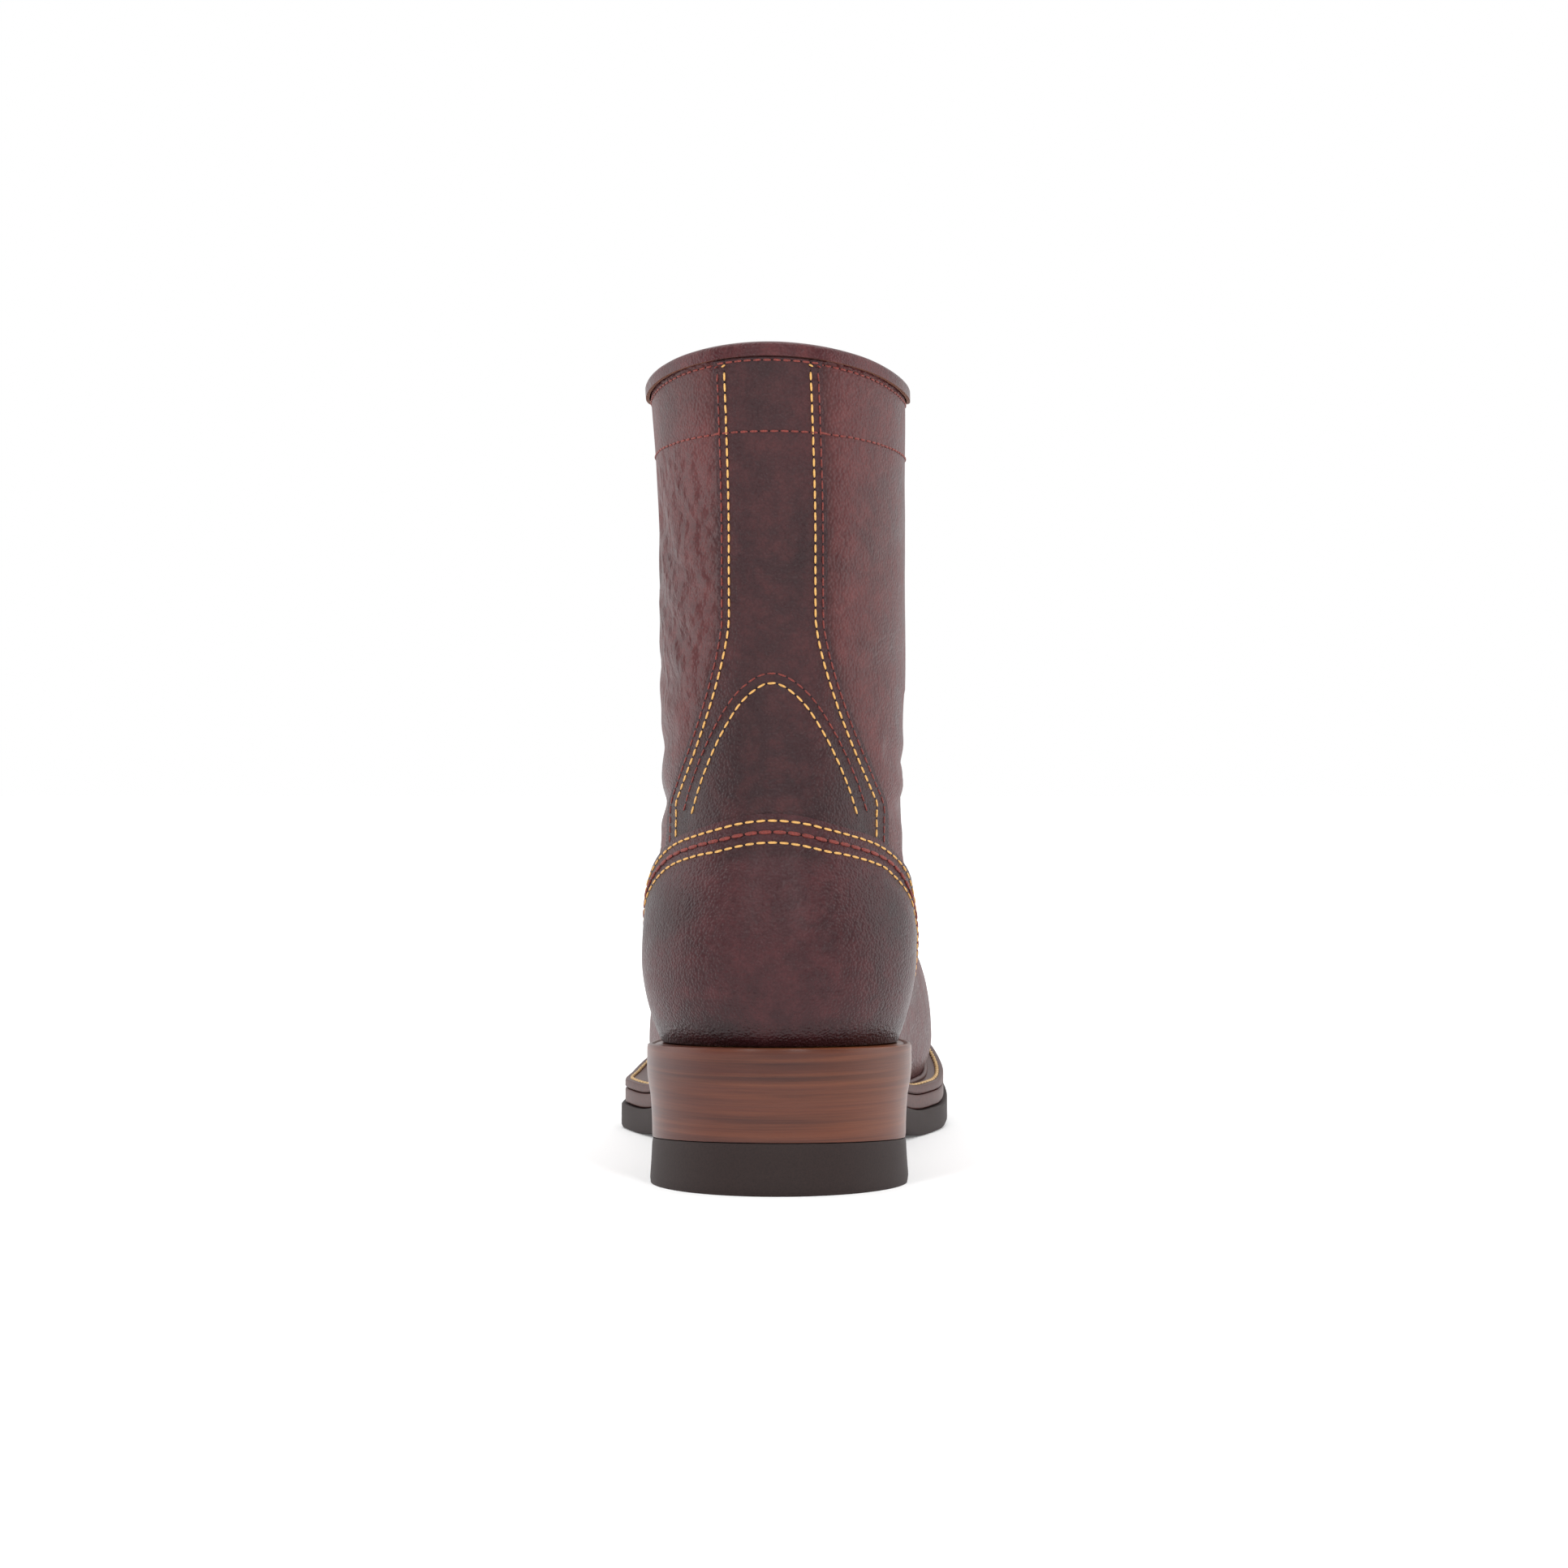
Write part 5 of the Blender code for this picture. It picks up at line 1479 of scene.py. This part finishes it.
# %% Make the welt
def welt_edges(theta):
    """Outer and inner edge of the welt, in plan, at a turn that runs on round the whole boot."""
    turn = theta if theta <= math.pi else theta - 2 * math.pi
    side = 1 if turn >= 0 else -1
    s = mix(EDGE_TRIM, LENGTH - EDGE_TRIM, along_ring(turn))
    outer = Vector((side * sole_half(s, side), s - ORIGIN_S, 0))
    inner = skin(0, turn, -WALL - GAP)
    inner.z = 0
    return outer, inner


WELT_AROUND = 300
boot_welt = start_solid("boot_welt", WELT_AROUND)
WELT_SECTION = (
    # share of the way in from the outer edge, inset in mm, height in mm over the midsole
    (0, 0.5, 0.0), (0, 0.0, 0.5), (0, 0.0, 2.3), (0, 0.25, 2.8), (0, 0.8, 3.0), (0, 1.7, 3.0),
    (0, 2.1, 2.75), (0, 2.9, 2.75), (0, 3.3, 3.0), (1, 0.0, 3.0), (1, 0.0, 0.0),
)
mesh = bmesh.new()
loops = []
for k in range(WELT_AROUND):
    outer, inner = welt_edges(2 * math.pi * k / WELT_AROUND)
    inwards = (inner - outer).normalized()
    loop = []
    for share, inset, up in WELT_SECTION:
        point = outer.lerp(inner, share) + inwards * inset * MM
        point.z = midsole_top(point.y + ORIGIN_S) + GAP + up * MM
        loop.append(mesh.verts.new(point))
    loops.append(loop)
size = len(WELT_SECTION)
for k in range(WELT_AROUND):
    low, high = loops[k], loops[(k + 1) % WELT_AROUND]
    for m in range(size):
        mesh.faces.new((low[m], high[m], high[(m + 1) % size], low[(m + 1) % size]))
close_solid(boot_welt, mesh, WELT_LEATHER)
sole_edge_masks(boot_welt)
set_shares(boot_welt, "warm", [
    0.75 * smooth(v.co.x / MM, -34, 30) * smooth(v.co.z / MM, 40.5, 42.5)
    for v in boot_welt.data.vertices])
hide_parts("welt")
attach(boot_welt, "root")
print("welt faces", len(boot_welt.data.polygons))

# %% [markdown]
# ## The heel
#
# A stacked heel is built of leather lifts, sanded to one hollow curve, stained and polished, over a
# wedge of rubber that meets the floor. The lifts are so well pressed that they read as one piece
# with level streaks, so the four lifts are dressed as one polished stack. It runs up over the
# edges of midsole and welt, which were sanded and stained together with it.

# %% A block of the heel
def edge_inset(z):
    """The hollow side of the stack, which flares out over the edges of midsole and welt."""
    joint = sole_line(0)
    return mix(heel_inset(z), -0.15 * MM, smooth(z, joint - 9 * MM, joint + 1 * MM))


def heel_block(name, bottom_of, top_of, rows, finish, soft=0.0):
    """One closed block of the heel between two heights, with its hollow sides and breast."""
    around, across = 150, 30
    block = start_solid(name, around + across)
    mesh = bmesh.new()
    levels = []
    reach = HEEL_LENGTH - BREAST_SLANT
    for row in range(rows + 1):
        share_up = row / rows
        trim = soft * (max(0.0, 1 - row / 1.5) ** 2 + max(0.0, 1 - (rows - row) / 1.5) ** 2)
        ring = []
        for i in range(-around // 2, around // 2 + 1):
            share = abs(2 * i / around)
            s = reach * (1 - math.cos(math.pi / 2 * share)) if share < 1 else reach
            z = mix(bottom_of(s), top_of(s), share_up)
            inset = edge_inset(z) + trim
            side = 1 if i >= 0 else -1
            half = max(0.0, sole_half(max(s, 0.0), side, 0) - inset * min(1.0, s / HEEL_ROUND))
            if share == 1:
                s = breast(half, z)
            back = inset * (1 - min(1.0, s / HEEL_ROUND))
            ring.append(mesh.verts.new((
                side * half, s + back - ORIGIN_S, mix(bottom_of(s), top_of(s), share_up))))
        last, first = ring[-1].co.x, ring[0].co.x
        for k in range(1, across):
            x = mix(last, first, k / across)
            s = breast(x, mix(bottom_of(HEEL_LENGTH), top_of(HEEL_LENGTH), share_up))
            ring.append(mesh.verts.new((
                x, s - ORIGIN_S, mix(bottom_of(s), top_of(s), share_up))))
        levels.append(ring)
    size = len(levels[0])
    for low, high in zip(levels, levels[1:]):
        for k in range(size):
            mesh.faces.new((low[k], low[(k + 1) % size], high[(k + 1) % size], high[k]))
    bottom = mesh.faces.new(levels[0][::-1])
    top = mesh.faces.new(levels[-1])
    bmesh.ops.triangulate(mesh, faces=[bottom, top])
    bmesh.ops.remove_doubles(mesh, verts=mesh.verts, dist=0.01 * MM)
    close_solid(block, mesh, finish)
    return block


heel_stack = heel_block(
    "heel_stack", lambda s: lift_top(s, 0), lambda s: seat(s) - GAP, 34, STACK_LEATHER, 0.2 * MM)
heel_rubber = heel_block(
    "heel_rubber", lambda s: 0.0, lambda s: lift_top(s, 0) - GAP, 10, RUBBER_BROWN, 0.35 * MM)


def stack_shade(x, s, z):
    """Redder and darker on the outer side, and darker in a few of the lifts."""
    return 0.12 + 0.3 * smooth(-x, -5, 38) + 0.12 * math.sin(z * 0.9) * math.sin(z * 0.37 + 1)


give_masks(heel_stack, stack_shade, lambda x, s, z: 0.0)
set_shares(heel_stack, "warm", [
    0.05 + 0.2 * smooth(v.co.x / MM, 0, 38) for v in heel_stack.data.vertices])
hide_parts("heel_lift_1", "heel_lift_2", "heel_lift_3", "heel_lift_4")
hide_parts("top_lift")
for piece, slot_name in ((heel_stack, "heel_lift_1"), (heel_rubber, "top_lift")):
    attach(piece, "root")
for slot_of in frame["nodes"]["insole"].material_slots:
    slot_of.material = LINING
print("heel faces", len(heel_stack.data.polygons))

# %% [markdown]
# ## Stitches
#
# Thread tells more about a boot than anything else: doubled rows down the backstay, three rows
# round the counter, one under the binding and one for the cuff inside. One stitch is modelled
# once as a short plump capsule, and a row is that capsule copied along a line on the leather.

# %% What the needle meets
bpy.context.view_layer.update()
leather_points, leather_faces = [], []
for name in ("boot_upper", "boot_counter", "boot_backstay", "boot_facing_medial",
             "boot_facing_lateral", "boot_binding"):
    data = bpy.data.objects[name].data
    start = len(leather_points)
    leather_points += [corner.co.copy() for corner in data.vertices]
    leather_faces += [[start + k for k in face.vertices] for face in data.polygons]
LEATHER_TREE = BVHTree.FromPolygons(leather_points, leather_faces)


def settle(point, way, reach=9 * MM):
    """Where a needle that comes in against way meets the leather, and the way out there."""
    way = way.normalized()
    hit, normal, _, _ = LEATHER_TREE.ray_cast(point + way * reach, -way, 2 * reach)
    if hit is None:
        return point, way
    return hit, (normal if normal.dot(way) > 0 else -normal)


# %% One stitch and one needle hole's painted shadow
clear_selection()
bpy.ops.mesh.primitive_uv_sphere_add(segments=8, ring_count=7, radius=1)
stitch_model = bpy.context.object
stitch_points = np.array([corner.co[:] for corner in stitch_model.data.vertices])
stitch_points[:, 2] = np.sign(stitch_points[:, 2]) * np.abs(stitch_points[:, 2]) ** 0.62
stitch_faces = [list(face.vertices) for face in stitch_model.data.polygons]
bpy.data.objects.remove(stitch_model)
# The needle hole's painted shadow: a small dark sphere sunk in the leather between stitches.
clear_selection()
bpy.ops.mesh.primitive_uv_sphere_add(segments=6, ring_count=4, radius=1)
hole_shadow_model = bpy.context.object
hole_shadow_points = np.array([corner.co[:] for corner in hole_shadow_model.data.vertices])
hole_shadow_faces = [list(face.vertices) for face in hole_shadow_model.data.polygons]
bpy.data.objects.remove(hole_shadow_model)


def sew(name, rows, thread):
    """One piece of all the stitches in rows: (points and ways, pitch, length share, width)."""
    corners, faces, looks = [], [], []
    count = 0
    for line, pitch, share, width in rows:
        lengths = [0.0]
        for (a, _), (b, _) in zip(line, line[1:]):
            lengths.append(lengths[-1] + (b - a).length)
        number = max(2, round(lengths[-1] / pitch))
        places = np.linspace(0, lengths[-1], 2 * number + 1)
        track = [[np.interp(places, lengths, [p[axis] for p, _ in line]) for axis in range(3)],
                 [np.interp(places, lengths, [w[axis] for _, w in line]) for axis in range(3)]]
        track = np.transpose(track, (0, 2, 1))
        for k in range(1, 2 * number, 2):
            middle, way = Vector(track[0][k]), Vector(track[1][k]).normalized()
            step = Vector(track[0][k + 1]) - Vector(track[0][k - 1])
            along = (step - way * step.dot(way)).normalized()
            across = way.cross(along)
            wobble = 0.10 * noise.noise(Vector((k * 0.7, len(corners) * 0.01, 2)))
            along = (along + across * wobble).normalized()
            turn = np.array((
                across * width / 2, way * width / 2 * 0.8, along * step.length / 2 * share))
            start = len(corners)
            lift = np.array(middle + way * width * 0.16)
            corners += list(stitch_points @ turn + lift)
            faces += [[start + c for c in face] for face in stitch_faces]
            looks += [0] * len(stitch_faces)
            # A dark sphere at the needle hole after each stitch, a painted shadow in the hole.
            start = len(corners)
            turn = np.array((across * width * 0.42, way * width * 0.16, along * width * 0.42))
            corners += list(hole_shadow_points @ turn + np.array(Vector(track[0][k + 1])))
            faces += [[start + c for c in face] for face in hole_shadow_faces]
            looks += [1] * len(hole_shadow_faces)
            count += 1
    data = bpy.data.meshes.new(name)
    data.from_pydata([tuple(c) for c in corners], [], faces)
    data.materials.append(thread)
    data.materials.append(NEEDLE_HOLE_SHADOW)
    data.polygons.foreach_set("material_index", looks)
    data.shade_smooth()
    piece = bpy.data.objects.new(name, data)
    bpy.context.collection.objects.link(piece)
    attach(piece, "root")
    print(name, count, "stitches,", len(faces), "faces")
    return piece


def laid(spots):
    """Settle a list of rings and turns, raised over the last, onto the leather."""
    line = []
    for v, turn in spots:
        point, way = skin_frame(v, turn)
        line.append(settle(point, way))
    return line


# %% [markdown]
# ## Rows of stitches on the back
#
# The strip's edges carry a yellow row with a dark red one beside it, the stiffener's tip the same,
# and the counter's top edge has yellow, thick dark red, and yellow again. The cuff's row and the
# row under the binding run round the shaft. Facings and quarters have rows of their own.

# %% Rows beside the backstay's edges
STITCH, WELT_STITCH = 3.15 * MM, 3.4 * MM
STAY_STEPS, TIP_STEPS, COUNTER_STEPS, SHAFT_STEPS = 40, 96, 120, 160


def stay_line(inset, side, low_gap):
    """A row inside the backstay's edge, from just under the binding to the counter."""
    spots = []
    for j in range(STAY_STEPS + 1):
        turn = 0.5
        for _ in range(9):
            foot = ring_at(turn, lambda s: COUNTER_LINE(s) + low_gap)
            v = mix(foot, stay_top, j / STAY_STEPS)
            turn = mix(turn, back_angle(v, backstay_half(spot(v, turn).z) - inset), 0.5)
        spots.append((v, side * turn))
    return laid(spots)


stay_yellow = [(stay_line(3.4 * MM, side, 1.0 * MM), STITCH, 0.80, 0.72 * MM) for side in (1, -1)]
stay_red = [(stay_line(1.3 * MM, side, 1.0 * MM), STITCH, 0.80, 0.55 * MM) for side in (1, -1)]


# %% Rows round the stiffener's tip
def seen_from_behind(x, z):
    """A point on the leather that is seen at x and z from straight behind."""
    hit, normal, _, _ = LEATHER_TREE.ray_cast(Vector((x, -0.2, z)), Vector((0, 1, 0)))
    return hit, (normal if normal.y < 0 else -normal)


def tip_line(outwards):
    """A row round the stiffener's tip, moved outwards in mm."""
    path = [(-w, z) for w, z in STIFFENER_TIP[::-1]] + list(STIFFENER_TIP[1:])
    across, up = curves_through(path)
    line = []
    for k in range(TIP_STEPS + 1):
        t = (len(path) - 1) * k / TIP_STEPS
        step = Vector((across(t + 0.05) - across(t - 0.05), up(t + 0.05) - up(t - 0.05)))
        out = Vector((-step.y, step.x)).normalized()
        x, z = (across(t) + out.x * outwards) * MM, (up(t) + out.y * outwards) * MM
        hit, normal = seen_from_behind(x, z)
        if z > COUNTER_LINE(hit.y + ORIGIN_S) + 0.8 * MM:
            line.append((hit, normal))
    return line


tip_yellow = [(tip_line(0.0), STITCH, 0.80, 0.70 * MM)]
tip_red = [(tip_line(2.9), STITCH, 0.80, 0.52 * MM)]


# %% Rows along the counter's top edge
def counter_row(down):
    """A row at a distance under the counter's top edge."""
    spots = []
    for k in range(COUNTER_STEPS + 1):
        turn = counter_end * 0.985 * (2 * k / COUNTER_STEPS - 1)
        def line_of(s):
            lean = (COUNTER_LINE(s + 1 * MM) - COUNTER_LINE(s)) / MM
            return COUNTER_LINE(s) - down * math.sqrt(1 + lean * lean)
        v = ring_at(abs(turn), line_of)
        if v > 0.15:
            spots.append((v, turn))
    return laid(spots)


counter_yellow = [(counter_row(d * MM), 3.4 * MM, 0.80, 0.72 * MM) for d in (2.0, 8.2)]
counter_red = [(counter_row(5.2 * MM), 4.2 * MM, 0.92, 1.15 * MM)]


# %% Rows round the shaft
def shaft_row(height_of):
    """A row round the shaft at a height given over the turn."""
    spots = []
    for k in range(SHAFT_STEPS + 1):
        share = 2 * k / SHAFT_STEPS - 1
        turn = math.pi * 0.80 * share
        v = ring_at(turn, lambda s: height_of(turn))
        limit = edge_angle(v, throat_half(v))
        turn = limit * share
        spots.append((ring_at(turn, lambda s: height_of(turn)), turn))
    return laid(spots)


under_binding = COLLAR_HEIGHT - BINDING_CROWN - ROLL_HEIGHT - 1.3 * MM
collar_red = [(shaft_row(lambda t: under_binding - COLLAR_DIP * math.sin(t) ** 2),
               2.9 * MM, 0.78, 0.66 * MM)]
cuff_red = [(shaft_row(lambda t: 222.8 * MM - 2.5 * MM * math.sin(t) ** 2),
             3.0 * MM, 0.78, 0.68 * MM)]


# %% Rows on the facings and over the vamp
def facing_row(side, inset):
    """A row beside the throat, at a distance from its edge."""
    return laid([(v, side * turn_beside(v, start, inset))
                 for v, start in list(zip(facing_rings, facing_starts))[3:-1:2]])


facing_yellow = [(facing_row(side, d * MM), STITCH, 0.78, 0.6 * MM)
                 for side in (1, -1) for d in (1.8, FACING_WIDTH / MM - 2.0)]
facing_red = [(facing_row(side, FACING_WIDTH - 4.4 * MM), STITCH, 0.78, 0.55 * MM)
              for side in (1, -1)]
QUARTER_EDGE = ((173, 106), (158, 95), (141, 80), (126, 62), (115, 44), (109, 32))


def quarter_row(side, behind):
    """A row behind the quarter's front edge, in the side view."""
    line = smooth_line(QUARTER_EDGE, 60)[2:-1]
    spots = []
    for (s0, z0), (s1, z1) in zip(line, line[1:]):
        step = Vector((s1 - s0, z1 - z0)).normalized()
        s, z = s0 + step.y * behind, z0 - step.x * behind
        low, high = 0.3, math.pi
        for _ in range(14):
            turn = (low + high) / 2
            v = ring_at(turn, lambda q: z * MM)
            if place(v, turn).y + ORIGIN_S < s * MM:
                low = turn
            else:
                high = turn
        spots.append((v, side * turn))
    return laid(spots)


quarter_yellow = [(quarter_row(side, d), STITCH, 0.78, 0.6 * MM)
                  for side in (1, -1) for d in (2.0, 7.2)]
quarter_red = [(quarter_row(side, 4.6), STITCH, 0.78, 0.55 * MM) for side in (1, -1)]


# %% Sew them
sew("yellow_stitches_back", stay_yellow + tip_yellow + counter_yellow, YELLOW_THREAD)
sew("dark_red_stitches_back", stay_red + tip_red + counter_red, RED_THREAD)
sew("dark_red_stitches_shaft", collar_red + cuff_red, RED_THREAD)
sew("yellow_stitches_sides", facing_yellow + quarter_yellow, YELLOW_THREAD)
sew("dark_red_stitches_sides", facing_red + quarter_red, RED_THREAD)


# %% Welt stitches
WELT_STEPS = 240
GROOVE_INSET, GROOVE_HEIGHT = 2.5 * MM, 2.75 * MM


def welt_line():
    """The row in the welt's groove, from one side of the heel round the toe to the other."""
    line = []
    for k in range(WELT_STEPS + 1):
        outer, inner = welt_edges(math.pi * (0.18 + 1.64 * k / WELT_STEPS))
        point = outer + (inner - outer).normalized() * GROOVE_INSET
        if point.y + ORIGIN_S < HEEL_LENGTH - 4 * MM:
            continue
        point.z = midsole_top(point.y + ORIGIN_S) + GAP + GROOVE_HEIGHT
        line.append((point, Vector((0, 0, 1))))
    return line


sew("welt_stitches", [(welt_line(), WELT_STITCH, 0.9, 1.5 * MM)], CREAM_THREAD)


# %% The bead between upper and welt
def round_tube(name, path, radius, sides, finish, squash=1.0):
    """A round cord along a path of points, with its ends closed."""
    cord = start_solid(name, sides, radius)
    mesh = bmesh.new()
    loops = []
    before_right = None
    for i, point in enumerate(path):
        ahead_of = (path[min(i + 1, len(path) - 1)] - path[max(i - 1, 0)]).normalized()
        right = ahead_of.cross(Vector((0, 0, 1)))
        if right.length < 0.2:
            right = before_right or ahead_of.cross(Vector((0, 1, 0)))
        right = right.normalized()
        if before_right and right.dot(before_right) < 0:
            right = -right
        before_right = right
        up = right.cross(ahead_of)
        loops.append([
            mesh.verts.new(point + (right * math.cos(a) + up * math.sin(a) * squash) * radius)
            for a in (2 * math.pi * k / sides for k in range(sides))])
    for low, high in zip(loops, loops[1:]):
        for k in range(sides):
            mesh.faces.new((low[k], low[(k + 1) % sides], high[(k + 1) % sides], high[k]))
    mesh.faces.new(loops[0][::-1])
    mesh.faces.new(loops[-1])
    close_solid(cord, mesh, finish, 50)
    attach(cord, "root")
    return cord


BEAD_STEPS = 199
bead_path = []
for k in range(BEAD_STEPS + 1):
    turn = math.pi * (0.24 + 1.52 * k / BEAD_STEPS)
    turn = turn if turn <= math.pi else turn - 2 * math.pi
    point = skin(0.05, turn, 0.7 * MM)
    point.z = seat(point.y + ORIGIN_S) + 0.55 * MM
    bead_path.append(point)
round_tube("welt_bead", bead_path, 1.1 * MM, 8, WELT_LEATHER)

# %% [markdown]
# ## Eyelets and lace
#
# The eyelets are small pressed rings of aged brass. The lace is a waxed braid: it comes up through
# each eyelet, crosses to the other side and dives into the next one. Its two ends stop at the top
# pair, because the photograph shows no more of it.

# %% Make the eyelets
clear_selection()
bpy.ops.mesh.primitive_torus_add(
    major_radius=(EYELET_RADIUS + EYELET_HOLE) / 2, minor_radius=(EYELET_RADIUS - EYELET_HOLE) / 2,
    major_segments=28, minor_segments=10)
ring_model = bpy.context.object
bpy.ops.object.mode_set(mode="EDIT")
bpy.ops.mesh.select_all(action="SELECT")
bpy.ops.transform.resize(value=(1, 1, 0.5))
bpy.ops.object.mode_set(mode="OBJECT")
# A thin dark disc in the ring's hole, painted shade in the eyelet.
clear_selection()
bpy.ops.mesh.primitive_cylinder_add(vertices=20, radius=EYELET_HOLE * 1.02, depth=0.3 * MM)
hole_shadow_disc = bpy.context.object
hole_shadow_disc.data.materials.append(NEEDLE_HOLE_SHADOW)
ring_model.data.materials.append(AGED_BRASS)
ring_model.data.materials.append(NEEDLE_HOLE_SHADOW)
clear_selection()
hole_shadow_disc.select_set(True)
ring_model.select_set(True)
bpy.context.view_layer.objects.active = ring_model
bpy.ops.object.join()
bpy.ops.object.shade_smooth_by_angle(angle=math.radians(45))
eyelet_spots = {}
for number, (v, distance) in enumerate(eyelet_places(), 1):
    for side, word in ((1, "medial"), (-1, "lateral")):
        turn = side * edge_angle(v, distance)
        point, way = settle(*skin_frame(v, turn))
        across = way.cross(Vector((0, 0, 1))).normalized()
        up = way.cross(across)
        turned = Matrix((across, up, way)).transposed().to_4x4()
        turned.translation = point + way * 0.35 * MM
        eyelet = bpy.data.objects.new(f"brass_eyelet_{word}_{number}", ring_model.data.copy())
        eyelet.data.transform(turned)
        bpy.context.collection.objects.link(eyelet)
        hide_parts(f"eyelet_{word}_{number}")
        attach(eyelet, "root")
        eyelet_spots[side, number] = (point, way)
bpy.data.objects.remove(ring_model)
print("eyelets", len(eyelet_spots))


# %% Make the lace
LACE_STEPS = 48


def lace_path(low, high, side, lift):
    """Up out of an eyelet, over the leather and the throat, and down into the one opposite."""
    (v0, d0), (v1, d1) = eyelet_rows[low - 1], eyelet_rows[high - 1]
    a, way_a = eyelet_spots[side, low]
    b, way_b = eyelet_spots[-side, high]
    over = FACING_FACE + EYELET_THICKNESS + LACE_DIAMETER / 2
    knots = [a - way_a * 0.4 * MM, a + way_a * 1.6 * MM]
    for share in (0.13, 0.26, 0.5, 0.74, 0.87):
        more = lift * math.sin(math.pi * share) ** 2
        v, distance = mix(v0, v1, share), side * mix(d0, -d1, share)
        turn = edge_angle(v, abs(distance))
        knots.append(skin(v, math.copysign(turn, distance), over + more))
    knots += [b + way_b * 1.6 * MM, b - way_b * 0.4 * MM]
    curves = curves_through(knots)
    return [Vector([curve((len(knots) - 1) * k / LACE_STEPS) for curve in curves])
            for k in range(LACE_STEPS + 1)]


def lace_piece(name, paths, nodes):
    """The bars of one crossing as one piece that stands for its CAD node."""
    parts = [round_tube(f"{name}_{k}", path, LACE_DIAMETER / 2, 10, LACE_CORD, 0.8)
             for k, path in enumerate(paths)]
    clear_selection()
    for part in parts:
        part.select_set(True)
    bpy.context.view_layer.objects.active = parts[0]
    if len(parts) > 1:
        bpy.ops.object.join()
    piece = bpy.context.view_layer.objects.active
    piece.name = piece.data.name = name
    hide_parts(*nodes)
    return piece


eyelet_rows = eyelet_places()
lace_piece("lace_first_bar", [lace_path(1, 1, -1, 0.0)], ["lace_bar"])
for number in range(1, EYELET_PAIRS):
    lace_piece(f"lace_crossing_{number}", [
        lace_path(number, number + 1, -1, 0.9 * LACE_DIAMETER),
        lace_path(number, number + 1, 1, 0.0)], [f"lace_cross_{number}"])

# %% [markdown]
# ## Check and finish
#
# The dressed boot has to keep the CAD model's size. We store both boxes and print the difference.

# %% Finish
shown = [list(corner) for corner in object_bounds()]
for axis, name in enumerate("xyz"):
    grown = [round(1000 * (shown[k][axis] - CAD_BOX[k][axis]), 1) for k in range(2)]
    print("box", name, "differs by", grown, "mm")
